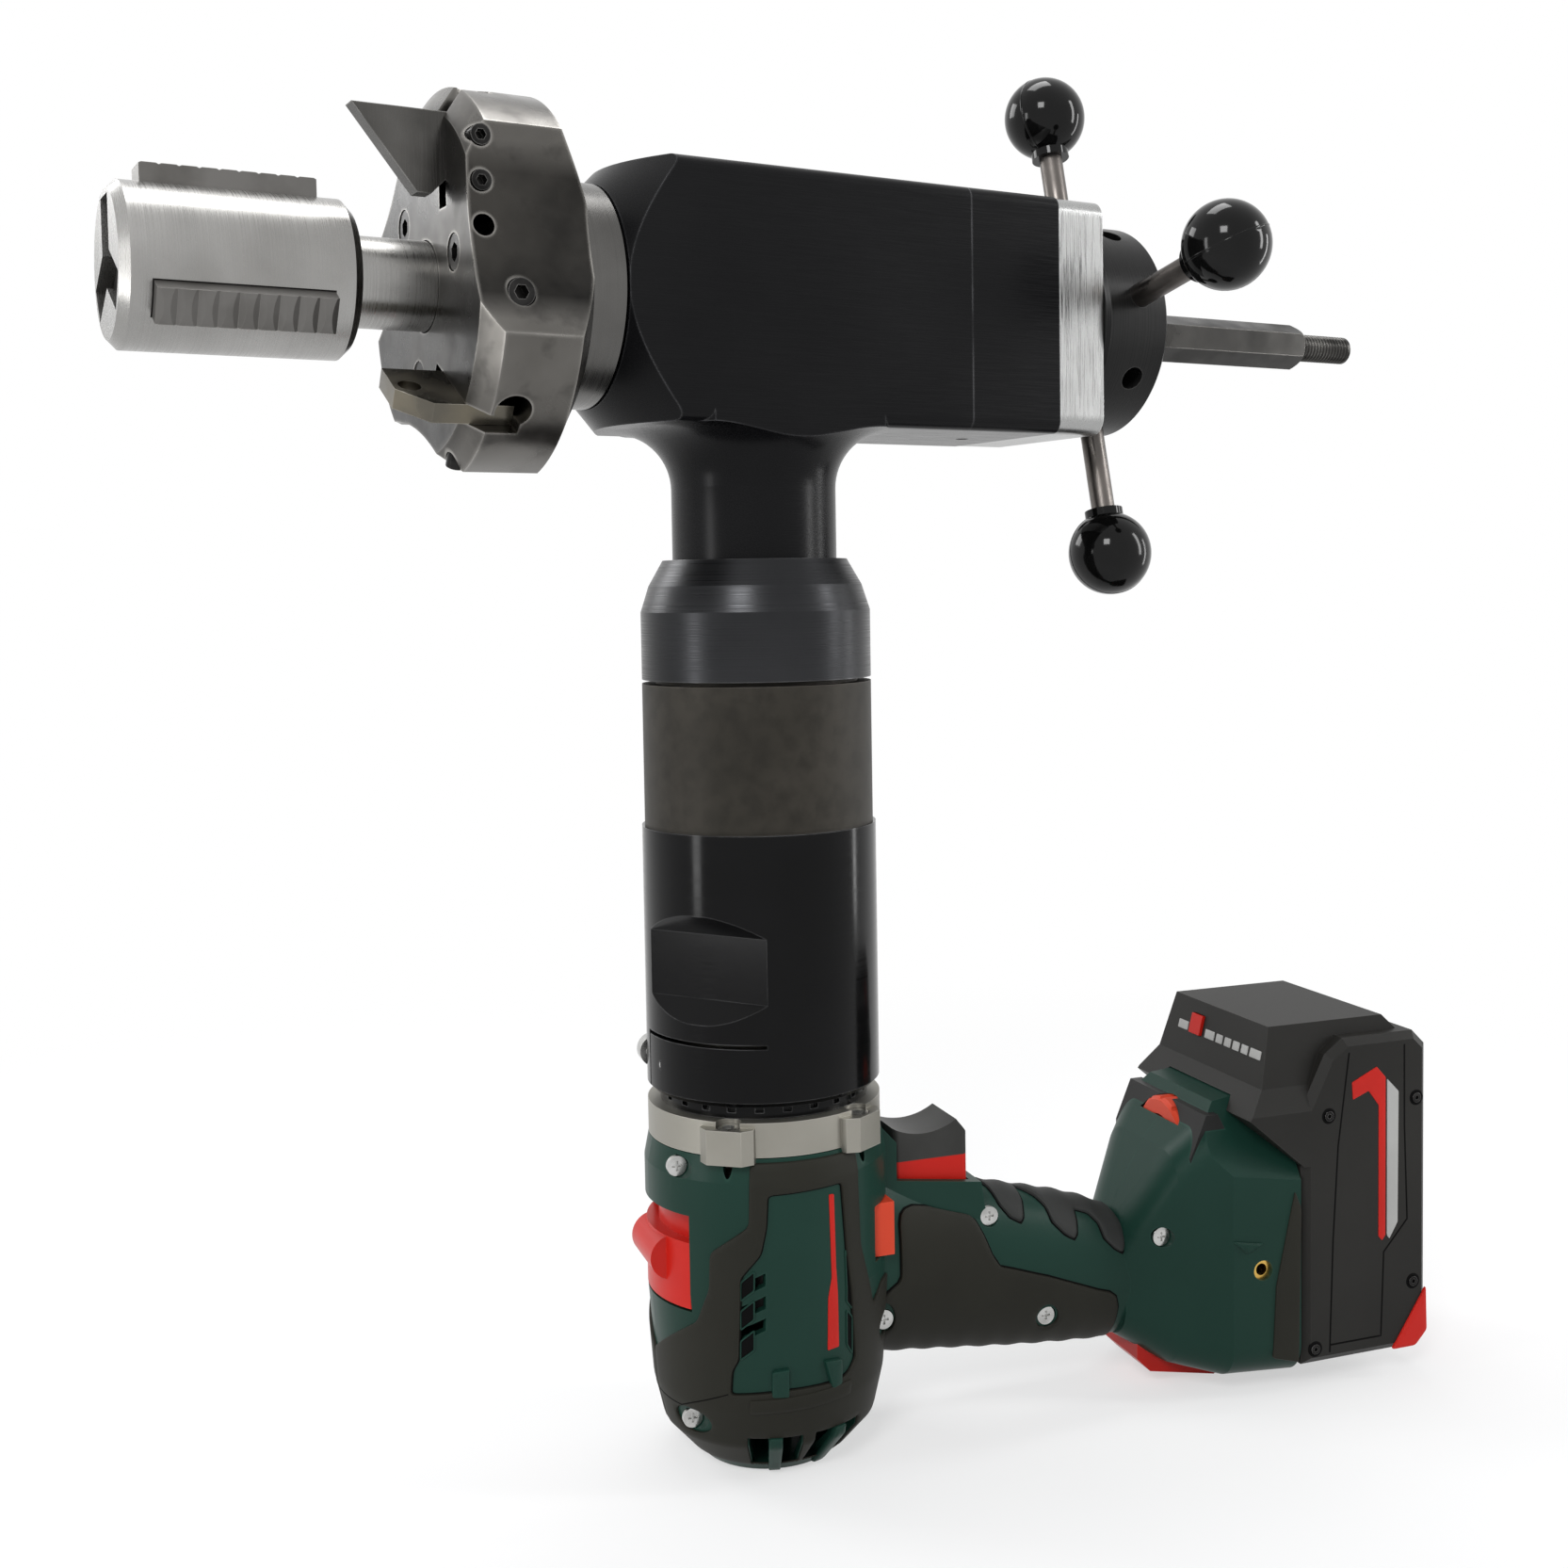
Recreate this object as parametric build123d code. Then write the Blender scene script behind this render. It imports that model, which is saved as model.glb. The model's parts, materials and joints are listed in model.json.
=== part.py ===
from build123d import *
import os
from math import acos, atan, atan2, cos, degrees, pi, radians, sin, sqrt, tan

os.makedirs("parts", exist_ok=True)

# Portable machine that bevels the end of a pipe. It grips the bore of the pipe with an
# expanding mandrel, and a cordless motor unit turns the cutter head.
# Origin: centre of the mandrel's grip, on the main axis. +X runs back along the main axis,
# towards the feed hub. +Z is up. The motor column hangs down, -Z. Lengths are in millimetres.

# General values
overrun = 5.0             # how far a cutting tool passes beyond the face that it cuts
running_gap = 0.05        # radial gap of a shaft in its bearing
moving_gap = 0.3          # gap between pieces that move past each other
thread_gap = 0.2          # radial gap of a thread's plain stand-in faces

# Main stations
grip_to_column = 158.0    # mandrel grip centre to the axis of the motor column
drill_swing = -10.0       # turn of the motor unit's handle about the column, degrees

# Mandrel
shaft_radius = 12.7
shaft_rear = 142.5        # from the column axis back to the end of the shaft
rod_radius = 5.0
rod_bore_gap = 0.35
guide_radius = 22.0
guide_length = 62.0
guide_chamfer = 2.5
grip_radius = 27.0
block_length = 46.0
block_width = 10.0
block_side_gap = 0.3
block_tooth_depth = 0.8
block_tooth_count = 9
ramp_angle = 10.0         # slope of the draw rod's ramps, degrees
ramp_radius = 12.0        # ramp height above the axis at the grip centre
ramp_gap = 0.1
keyway_width = 5.0
keyway_depth = 2.5
wedge_nose_length = 8.0

# Draw nut and the threaded end of the rod
nut_across_flats = 14.3
nut_collar_radius = 9.25
nut_collar_length = 7.5
nut_end = 228.0           # from the column axis
rod_rear_end = 253.6      # from the column axis
thread_pitch = 1.5
thread_depth = 0.6
nut_chamfer = 1.2
rod_end_chamfer = 0.8

# Housing
body_height = 76.2
body_width = 65.8
body_edge_radius = 4.0
body_front = 55.0         # from the column axis forward to the nose of the housing
nose_radius = 33.0
nose_cone_angle = 45.0
front_block_rear = 61.6
rear_block_rear = 95.5
rear_block_edge_radius = 4.0
plate_rear = 113.2
plate_edge_radius = 6.0
flare_radius = 18.0
neck_radius = 25.8
gear_space_radius = 29.4
gear_space_front = 22.0
housing_screw_radius = 2.5
housing_screw_head_radius = 4.4
housing_screw_head_length = 5.0
housing_screw_y = 24.6
housing_screw_z = 30.0
key_length = 12.0
key_reach = 3.0
underside_hole_radius = 2.1
underside_hole_depth = 8.0
underside_hole_station = 79.0

# Spindle, bearings and bevel gears
spindle_bore = 13.1
journal_radius = 17.4
spindle_nose_length = 14.0
spindle_nose_gap = 1.0
spigot_radius = 20.0
spigot_length = 10.0
front_bearing_radius = 28.0
front_bearing_width = 13.0
front_bearing_start = 50.0
rear_bearing_radius = 26.0
rear_bearing_width = 11.0
rear_bearing_station = 30.0
bearing_race = 2.6
ball_count = 16
lock_ring_radius = 21.0
lock_ring_width = 6.0
gear_teeth = 32
pinion_teeth = 16
bevel_module = 1.625
bevel_face = 8.2
bevel_hub_radius = 23.0
pinion_shaft_radius = 8.0
pinion_back = 33.5        # depth of the pinion's back face
pinion_bearing_radius = 15.0
pinion_bearing_width = 10.0
pinion_bearing_tops = (36.0, 62.0)
pressure_angle = 20.0
backlash_share = 0.09     # part of a tooth's thickness taken off for running room

# Cutter head
head_rear = 70.0          # from the column axis forward
head_thickness = 34.0
head_radius = 55.0
lobe_count = 3
lobe_angle = 17.5         # first lobe's turn from +Z towards -Y, degrees
scallop_floor = 41.0
scallop_half_angle = 32.5
head_front_chamfer = (5.0, 7.0)
head_rear_chamfer = (7.0, 12.0)
slot_near = 21.0          # sideways distance of the tool slot's clamped face from the lobe's radius line
slot_width = 6.0
slot_depth = 14.0
slot_floor_radius = 19.0
relief_radius = 5.2
relief_offset = 13.5
relief_depth = 11.0
tool_gap = 0.1
tool_screw_radius = 3.0
tool_screw_heights = (35.0, 23.0, 11.0)
tool_screw_setback = 4.0
tool_screw_length = 18.0
lock_screw_radius = 4.0
lock_screw_setback = 12.0
lock_screw_height = -7.0
lock_screw_proud = 4.5
head_screw_radius = 3.0
head_screw_head_radius = 5.0
head_screw_head_length = 6.0
head_screw_circle = 26.5
socket_share = 0.55       # hexagon socket's corner radius as a share of its screw

# Tool bits
bevel_angle = 37.5        # angle of the cutting edge from the square face, degrees
bit_reach = 25.3          # how far the bevel bit's tip stands out of the head's front face
bit_tip_height = 44.5
bit_low_height = 22.0
facing_reach = 17.0
facing_height = 46.0
facing_low_height = 24.0
chip_groove_radius = 3.0
bit_hole_radius = 3.2

# Feed hub and levers
hub_front_gap = 0.3
hub_length = 25.4
hub_radius = 35.6
hub_thread_radius = 12.9
hub_spigot_radius = 19.0
hub_spigot_length = 9.0
hub_flange_radius = 23.0
hub_flange_length = 5.0
lever_count = 4
lever_station_share = 0.545   # of the hub's length, from its front face
lever_radius = 4.0
lever_seat_radius = 20.0
lever_lean = 12.95        # turn of the levers about the main axis, degrees
ball_distance = 78.8
ball_radius = 14.1
ball_neck_radius = 6.5
ball_neck_length = 4.0
lever_in_ball = 9.0
spare_hole_depth = 12.0

# Motor column below the neck
collar_top = 78.0
collar_top_radius = 29.0
collar_bulge = 1.0
column_radius = 36.1
collar_shoulder = 94.0
collar_bottom = 115.0
collar_lip = 98.0
flange_radius = 31.8
flange_top = collar_lip + moving_gap
flange_bottom = 104.0
sleeve_top = 116.3
sleeve_bottom = 160.8
adaptor_radius = 37.0
adaptor_bottom = 243.3
adaptor_chamfer = 1.6
flat_angle = -150.0
flat_distance = 30.3
flat_top = 192.0
flat_bottom = 212.0
flat_bow = 6.5
clamp_height = 19.3        # of the part of the adaptor that clamps the motor unit's neck
clamp_slit_top = adaptor_bottom - clamp_height
clamp_slit_width = 1.2
clamp_slit_start = 169.0
clamp_slit_sweep = 75.5
clamp_screw_radius = 3.0
clamp_screw_head_radius = 5.0
clamp_screw_depth = adaptor_bottom - clamp_height / 2
clamp_screw_length = 30.0
case_neck_radius = 29.0
case_neck_top = 214.0

# Reduction gear in the sleeve
spur_module = 1.0
sun_teeth = 18
planet_teeth = 18
ring_teeth = 54
planet_count = 3
planet_top = 121.0
planet_face = 17.0
carrier_thickness = 6.0
carrier_radius = 25.5
carrier_top = 113.5
planet_pin_radius = 3.5
sun_bearing_radius = 14.0
sun_bearing_width = 9.0
sun_shaft_radius = 7.0
sun_bearing_top = 151.0
coupling_radius = 12.0
coupling_top = 186.0
coupling_bottom = 210.0
drill_spindle_radius = 6.2
drill_spindle_top = 190.0

# Motor unit: gear case
ring_radius = 33.0
torque_ring_top = adaptor_bottom + moving_gap
torque_ring_height = 3.9
torque_notches = 24
notch_depth = 1.3
case_ring_top = torque_ring_top + torque_ring_height + 2 * running_gap
case_ring_height = 10.6
case_ring_radius = 37.0
case_boss_reach = 41.0
case_boss_half_width = 8.5
case_boss_offset_angle = 35.0
case_barrel_radius = 30.0
case_barrel_bottom = 280.0
case_wall = 3.0
case_screw_radius = 2.0
case_screw_head_radius = 3.6
case_screw_head_length = 2.6
cartridge_bottom = 278.0

# Motor unit: motor
rotor_shaft_radius = 2.5
rotor_top = 288.0
rotor_bottom = 320.0
rotor_radius = 12.5
stator_radius = 26.0
stator_air_gap = 0.5
stator_slots = 6
fan_top = 326.0
fan_height = 9.0
fan_radius = 25.0
fan_hub_radius = 7.0
fan_blades = 9
fan_blade_thickness = 1.4
rotor_shaft_bottom = 346.0

# Motor unit: casing
shell_wall = 2.6
shell_top = case_ring_top + case_ring_height + moving_gap
barrel_radius = 38.5
barrel_bulge_top = 266.0
barrel_bulge_bottom = 302.0
barrel_waist_radius = 36.0
barrel_waist = 336.0
barrel_heel_radius = 33.0
barrel_heel = 349.0
barrel_end_radius = 22.0
barrel_end = 361.5
seam_gap = 0.04
handle_length = 128.0     # from the column axis to the start of the foot
handle_half_height = 36.0
handle_depth = barrel_end - handle_half_height
handle_half_width = 17.5
grip_shares = (
    # shares of the handle's length, depth, half height and half width
    (0.19, 0.922, 1.0, 1.22),
    (0.41, 0.949, 0.833, 1.0),
    (0.63, 0.969, 0.742, 0.97),
    (0.83, 0.983, 0.680, 0.94),
    (1.00, 1.000, 0.555, 0.91),
)
trigger_nose = 70.0
trigger_nose_half_width = 13.0
foot_length = 49.0        # from the handle's end to the foot's rear face
foot_rear = handle_length + foot_length
foot_span = 177.0         # the length that the setbacks of its sections are shares of
foot_top = 260.0
foot_bottom = 357.0
foot_half_width = 36.8
bevel_half_width = 19.0   # where the bevel of the foot's upper edges starts
bevel_low = 288.5
foot_shares = (
    # setback from the rear face as a share of the foot's span, how far down its height the section
    # starts and ends, and a share of its half width
    (0.310, 0.475, 0.870, 0.41),
    (0.225, 0.200, 0.960, 0.68),
    (0.140, 0.030, 0.990, 0.94),
    (0.000, 0.000, 1.000, 1.00),
)
casing_screw_radius = 1.6
casing_screw_head_radius = 3.1
casing_boss_radius = 3.7
screw_slot = 0.8
casing_screw_shares = (
    # shares of the handle's length, depth and half width
    (0.570, 0.905, 0.62),
    (0.723, 1.015, 0.71),
    (0.262, 0.988, 0.89),
    (-0.234, 1.054, 0.84),
    (1.035, 0.943, 1.11),
    (-0.264, 0.808, 0.91),
)
foot_corner_radius = 12.0
overmould_thickness = 0.9
overmould_top = 318.0
overmould_reach_share = 0.62   # of the barrel's radius, on the handle's side
vent_count = 3
vent_x = 12.0
vent_width = 8.0
vent_height = 4.0
vent_top = 293.0
vent_pitch = 7.0
rear_vent_count = 4
rear_vent_width = 6.0
rear_vent_angle = 18.0
rear_vent_shift = 3.5     # turn of the middle of the row towards the handle, degrees
palm_panel_shares = (
    # the palm's rubber panel: shares of the handle's length and depth
    (0.30, 0.893), (0.36, 0.886), (0.52, 0.897), (0.59, 0.948), (0.88, 0.985), (0.95, 1.010),
    (0.95, 1.090), (0.30, 1.090),
)
finger_panel_shares = (
    # the finger grip's zigzag edge and its top, in the same shares
    (0.60, 0.840), (0.60, 0.880), (0.70, 0.925), (0.73, 0.895), (0.82, 0.955), (0.85, 0.915),
    (0.94, 0.972), (1.00, 0.930), (1.00, 0.840),
)

# Motor unit: controls
trigger_edge = 4.0
trigger_length = 26.0
trigger_start = 40.5
trigger_top = shell_top + trigger_edge
trigger_half_width = 10.0
trigger_depth = 26.0
trigger_travel = 6.5
button_x = 31.0
button_depth = handle_depth - handle_half_height
button_half_height = 8.5
button_half_width = 3.8
button_reach = 24.0
window_top = 277.5
window_bottom = 307.5
window_half_width = 22.0
selector_travel = 8.0
selector_inner = 32.3     # inner radius of the curved slider
selector_plate = 2.0
selector_lap = 3.0        # how far the slider's plate reaches behind the window's sides
selector_block_length = 20.5
selector_nub_radius = 7.0
selector_nub_half = 12.0
selector_nub_reach = 2.8  # how far the nub stands out of the barrel
wheel_radius = 15.8
wheel_thickness = 9.0
wheel_setback = 28.6      # in front of the foot's rear face
wheel_x = foot_rear - wheel_setback
wheel_depth = 281.7
wheel_notches = 12
wheel_hole = 2.0
bracket_half_width = 26.0
bracket_wall = 3.0
bracket_ear_height = 14.0     # from the front plate's top up to the ears
bracket_lip_height = 1.7      # from the wheel's axis up to the front plate's top
bracket_drop = 8.8            # from the wheel's axis down to the bracket's lower face
bracket_notch_drop = 2.3      # from the wheel's axis down to the corner behind the ears
wheel_chamfer = 1.2
insert_radius = 3.4
insert_hole = 2.0
insert_length = 8.0
insert_setback = 14.0     # in front of the foot's rear face
insert_x = foot_rear - insert_setback
insert_depth = 318.0
clip_half_width = 12.0
clip_thickness = 5.0
clip_start = handle_length
clip_setback = 19.0       # in front of the foot's rear face
clip_end = foot_rear - clip_setback

# Battery
battery_front = foot_rear + 2 * moving_gap
battery_reach = 50.5          # behind the foot's rear face
battery_back = foot_rear + battery_reach
battery_half_width = 38.0
battery_top = 242.0
battery_bottom = 352.5
shoulder_reach = 10.0         # from the foot's rear face to where the upper front corner's slope ends
battery_shoulder = foot_rear + shoulder_reach
battery_shoulder_low = 265.0
seam_reach = 17.0
battery_seam = foot_rear + seam_reach
battery_edge = 5.0
nose_setback = 8.5            # in front of the foot's rear face, at the nose's top
nose_slope = 5.0
nose_front = foot_rear - nose_setback
nose_front_low = nose_front - nose_slope
nose_top = 237.0
nose_reach = 37.0             # behind the foot's rear face
nose_back = foot_rear + nose_reach
nose_half_width = 34.0
nose_top_half_width = 30.0
nose_low = 257.0
skirt_reach = 7.0             # the skirt that hugs the foot's upper edge
skirt_front = nose_front_low - skirt_reach
skirt_front_low = 266.0
skirt_low = 284.0
battery_rail_half_width = 14.0
battery_rail_lip = 3.0
battery_rail_reach = 7.0
battery_gap = 0.4
battery_wall = 2.4
cell_radius = 9.1
cell_length = 65.0
led_button = (7.0, 7.0)
led_button_thickness = 1.6
led_button_proud = 1.0
led_button_side = 12.0
led_strip_height = 2.0
cells_in_row = 5
bumper_thickness = 1.2
bumper_length = 30.0

# Derived stations along the main axis
column_x = grip_to_column
head_front = head_rear + head_thickness
nose_start = column_x - head_rear
body_start = column_x - body_front
front_block_end = column_x + front_block_rear
rear_block_end = column_x + rear_block_rear
plate_end = column_x + plate_rear
hub_start = plate_end + hub_front_gap
hub_end = hub_start + hub_length
lever_x = hub_start + hub_length * lever_station_share
shaft_end = column_x + shaft_rear
half_height = body_height / 2
half_width = body_width / 2


def cyl_x(radius, start, end, y=0, z=0):
    rod = Cylinder(radius, end - start, align=(Align.CENTER, Align.CENTER, Align.MIN))
    return Pos(start, y, z) * Rot(0, 90, 0) * rod


def cyl_y(radius, start, end, x=0, z=0):
    rod = Cylinder(radius, end - start, align=(Align.CENTER, Align.CENTER, Align.MIN))
    return Pos(x, start, z) * Rot(-90, 0, 0) * rod


def cyl_z(radius, low, high, x=0, y=0):
    rod = Cylinder(radius, high - low, align=(Align.CENTER, Align.CENTER, Align.MIN))
    return Pos(x, y, low) * rod


def block(x0, x1, y0, y1, z0, z1):
    size = Box(x1 - x0, y1 - y0, z1 - z0)
    return Pos((x0 + x1) / 2, (y0 + y1) / 2, (z0 + z1) / 2) * size


def turned_x(points):
    """A turned piece on the main axis, from points of station and radius."""
    outline = Polyline(*[(x, r, 0) for x, r in points], close=True)
    return revolve(make_face(outline), Axis.X, 360)


def turned_z(points):
    """A turned piece on the column axis, from points of radius and depth below the main axis."""
    outline = Polyline(*[(r, 0, -depth) for r, depth in points], close=True)
    return revolve(make_face(outline), Axis.Z, 360)


def ring_z(outer, inner, top, bottom):
    return turned_z([(inner, top), (outer, top), (outer, bottom), (inner, bottom)])


def ring_x(outer, inner, start, end):
    return turned_x([(start, inner), (start, outer), (end, outer), (end, inner)])


def slab_y(points, half):
    """A plate across the drill, from an outline of distance and depth, as wide as twice half."""
    outline = Polyline(*[(x, -half, -depth) for x, depth in points], close=True)
    return extrude(make_face(outline), amount=2 * half, dir=(0, 1, 0))


def around_x(shape, angle):
    return Rot(angle, 0, 0) * shape


def at_column(shape):
    return Pos(column_x, 0, 0) * shape


def at_drill(shape):
    return Pos(column_x, 0, 0) * Rot(0, 0, drill_swing) * shape


def hexagon_x(across_flats, start, end):
    face = RegularPolygon(across_flats / 2, 6, major_radius=False)
    return Pos(start, 0, 0) * Rot(0, 90, 0) * extrude(face, amount=end - start)


def joined(shapes):
    """Fuse a list of shapes in one step."""
    first, rest = shapes[0], shapes[1:]
    return first.fuse(*rest) if rest else first


def keep(name, shapes):
    """Write one node, made of one solid or of several separate ones."""
    shapes = shapes if isinstance(shapes, list) else [shapes]
    solids = [solid for shape in shapes for solid in shape.solids()]
    whole = solids[0] if len(solids) == 1 else Compound(children=solids)
    whole.label = name
    export_step(whole, f"parts/{name}.step")


# Gear teeth

def involute(base_radius, radius):
    """Angle of the involute at a radius, from its start on the base circle."""
    roll = sqrt(max((radius / base_radius) ** 2 - 1, 0))
    return roll - atan(roll)


def tooth_half_angle(teeth, pitch_radius, radius, thickness_share):
    """Half the angle that a tooth fills at a radius."""
    base_radius = pitch_radius * cos(radians(pressure_angle))
    at_pitch = pi / (2 * teeth) * thickness_share
    at_radius = max(radius, base_radius)
    return at_pitch + involute(base_radius, pitch_radius) - involute(base_radius, at_radius)


def tooth_points(teeth, pitch_radius, root, tip, thickness_share):
    """One tooth's outline as radius and angle, from root to tip and back."""
    base_radius = pitch_radius * cos(radians(pressure_angle))
    start = max(root, base_radius)
    radii = [root, (start + pitch_radius) / 2, pitch_radius, (pitch_radius + tip) / 2, tip]
    rising = [(r, -tooth_half_angle(teeth, pitch_radius, r, thickness_share)) for r in radii]
    return rising + [(r, -a) for r, a in reversed(rising)]


def spur_face(teeth, module, root, tip, thickness_share, turn=0.0):
    """The flat outline of a spur gear centred on the origin."""
    points = []
    for index in range(teeth):
        middle = 2 * pi * index / teeth + radians(turn)
        for r, a in tooth_points(teeth, teeth * module / 2, root, tip, thickness_share):
            points.append((r * cos(middle + a), r * sin(middle + a)))
    return make_face(Polyline(*points, close=True))


def spur_gear(teeth, top, face_width, turn=0.0):
    pitch = teeth * spur_module / 2
    outline = spur_face(teeth, spur_module, pitch - 1.25 * spur_module, pitch + spur_module,
                        1 - backlash_share, turn)
    return Pos(0, 0, -top - face_width) * extrude(outline, amount=face_width)


def bevel_gear_blank(teeth, mate_teeth, back, bore, hub_radius, turn=0.0):
    """A straight bevel gear on +Z, its cone's point at the origin, its back face at z = back."""
    pitch_radius = teeth * bevel_module / 2
    cone = atan2(teeth, mate_teeth)
    distance = pitch_radius / sin(cone)
    inner_share = (distance - bevel_face) / distance
    back_radius = distance * tan(cone)
    apex = distance / cos(cone)
    root = back_radius - 1.25 * bevel_module
    tip = back_radius + bevel_module
    virtual_teeth = teeth / cos(cone)

    def placed(along, across, scale):
        return Vector(along * cos(cone), across, apex - along * sin(cone)) * scale

    def tooth_end(scale):
        outline = tooth_points(virtual_teeth, back_radius, root, tip, 1 - backlash_share)
        low = outline[0]
        outline = [(low[0] - bevel_module / 2, low[1])] + outline + [(low[0] - bevel_module / 2, -low[1])]
        corners = [placed(r * cos(a), r * sin(a), scale) for r, a in outline]
        return make_face(Polyline(*corners, close=True))

    tooth = loft([tooth_end(1.0), tooth_end(inner_share)], ruled=True)
    root_outer = (root * cos(cone), apex - root * sin(cone))
    root_inner = (root_outer[0] * inner_share, root_outer[1] * inner_share)
    shoulder = (root_outer[0], min(root_outer[1] + bevel_module, back))
    profile = [(bore, root_inner[1]), root_inner, root_outer, shoulder, (hub_radius, back), (bore, back)]
    outline = Polyline(*[(r, 0, z) for r, z in profile], close=True)
    blank = revolve(make_face(outline), Axis.Z, 360)
    teeth_all = [Rot(0, 0, 360 * i / teeth) * tooth for i in range(teeth)]
    return Rot(0, 0, turn) * joined([blank] + teeth_all)


def ball_bearing(outer, inner, width):
    """Two races and their balls on +Z, from z = 0 to width, as separate solids."""
    middle = (outer + inner) / 2
    ball = (outer - inner) / 2 - bearing_race + moving_gap
    outer_race = cyl_z(outer, 0, width) - cyl_z(outer - bearing_race, -overrun, width + overrun)
    inner_race = cyl_z(inner + bearing_race, 0, width) - cyl_z(inner, -overrun, width + overrun)
    groove = Pos(0, 0, width / 2) * Torus(middle, ball + running_gap)
    balls = [Rot(0, 0, 360 * i / ball_count) * Pos(middle, 0, width / 2) * Sphere(ball)
             for i in range(ball_count)]
    return [outer_race - groove, inner_race - groove] + balls


# Mandrel, draw rod and grip blocks

def ramp_height(x):
    return ramp_radius - x * tan(radians(ramp_angle))


def mandrel_body():
    half = guide_length / 2
    guide = turned_x([(-half, 0), (-half, guide_radius - guide_chamfer), (guide_chamfer - half, guide_radius),
                      (half - guide_chamfer, guide_radius), (half, guide_radius - guide_chamfer), (half, 0)])
    body = guide + cyl_x(shaft_radius, half - guide_chamfer, shaft_end)
    body -= cyl_x(rod_radius + rod_bore_gap, -half - overrun, shaft_end + overrun)
    slot_half = block_width / 2 + block_side_gap
    channel_rear = block_length / 2 + block_side_gap
    slots = []
    for index in range(lobe_count):
        channel = block(-half - overrun, channel_rear, -slot_half, slot_half, 0,
                        ramp_height(-half) + moving_gap)
        slot = block(-channel_rear, channel_rear, -slot_half, slot_half, 0, grip_radius)
        slots += [around_x(channel, 120 * index), around_x(slot, 120 * index)]
    for side in (1, -1):
        edges = sorted((side * (shaft_radius - keyway_depth), side * (shaft_radius + overrun)))
        slots.append(block(column_x + front_block_rear / 2, shaft_end + overrun, *edges,
                           -keyway_width / 2, keyway_width / 2))
    return body.cut(*slots)


def threaded_end(start, end, radius):
    """A rod end with one ring groove for each turn of its thread."""
    points = [(start, 0), (start, radius)]
    turns = int((end - start - rod_end_chamfer) / thread_pitch)
    for turn in range(turns):
        x = start + turn * thread_pitch
        points += [(x + thread_pitch / 2, radius - thread_depth), (x + thread_pitch, radius)]
    points += [(end - rod_end_chamfer / 2, radius), (end, radius - rod_end_chamfer), (end, 0)]
    return turned_x(points)


def draw_rod():
    front = -block_length / 2 - wedge_nose_length / 2
    rear = block_length / 2
    thread_start = column_x + nut_end - thread_pitch
    rod = cyl_x(rod_radius, front, thread_start) + threaded_end(thread_start, column_x + rod_rear_end, rod_radius)
    half = block_width / 2 - block_side_gap
    outline = Polyline((front, -half, 0), (rear, -half, 0), (rear, -half, ramp_height(rear)),
                       (front, -half, ramp_height(front)), close=True)
    rib = extrude(make_face(outline), amount=2 * half, dir=(0, 1, 0))
    return joined([rod] + [around_x(rib, 120 * index) for index in range(lobe_count)])


def mandrel_block(index):
    half = block_length / 2
    pitch = block_length / block_tooth_count
    points = [(-half, ramp_height(-half) + ramp_gap)]
    points.append((-half, grip_radius - block_tooth_depth))
    for tooth in range(block_tooth_count):
        x = -half + tooth * pitch
        points += [(x + pitch / 2, grip_radius + block_tooth_depth / 2)]
        points += [(x + pitch, grip_radius - block_tooth_depth)]
    points.append((half, ramp_height(half) + ramp_gap))
    outline = Polyline(*[(x, -block_width / 2, z) for x, z in points], close=True)
    whole = extrude(make_face(outline), amount=block_width, dir=(0, 1, 0))
    return around_x(whole & cyl_x(grip_radius, -half - overrun, half + overrun), 120 * index)


def draw_nut():
    collar_start = shaft_end + moving_gap
    collar_end = collar_start + nut_collar_length
    end = column_x + nut_end
    collar = turned_x([(collar_start, 0), (collar_start, nut_collar_radius - nut_chamfer),
                       (collar_start + nut_chamfer, nut_collar_radius), (collar_end, nut_collar_radius),
                       (collar_end, 0)])
    corner = nut_across_flats / sqrt(3)
    ends = turned_x([(collar_end - nut_chamfer, 0), (collar_end - nut_chamfer, corner), (end - nut_chamfer, corner),
                     (end, corner - nut_chamfer), (end, 0)])
    nut = collar + (hexagon_x(nut_across_flats, collar_end - nut_chamfer, end) & ends)
    return nut - cyl_x(rod_radius + thread_gap, collar_start - overrun, end + overrun)


# Housing

def rounded_block(start, end, edge_radius):
    body = block(start, end, -half_width, half_width, -half_height, half_height)
    return fillet(body.edges().filter_by(Axis.X), edge_radius)


def flare_and_neck():
    outer = neck_radius + flare_radius
    top = half_height - body_edge_radius
    foot = half_height + flare_radius
    bend = flare_radius * cos(radians(45))
    sides = [
        Polyline((0, 0, -top), (outer, 0, -top), (outer, 0, -half_height)),
        ThreePointArc((outer, 0, -half_height), (outer - bend, 0, bend - foot), (neck_radius, 0, -foot)),
        Polyline((neck_radius, 0, -foot), (neck_radius, 0, -flange_top), (flange_radius, 0, -flange_top),
                 (flange_radius, 0, -flange_bottom), (0, 0, -flange_bottom), (0, 0, -top)),
    ]
    turned = revolve(make_face(Wire(joined_edges(sides))), Axis.Z, 360)
    limit = block(-outer, outer, -half_width, half_width, -flange_bottom - overrun, 0)
    return turned & limit


def joined_edges(lines):
    return [edge for line in lines for edge in line.edges()]


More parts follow.
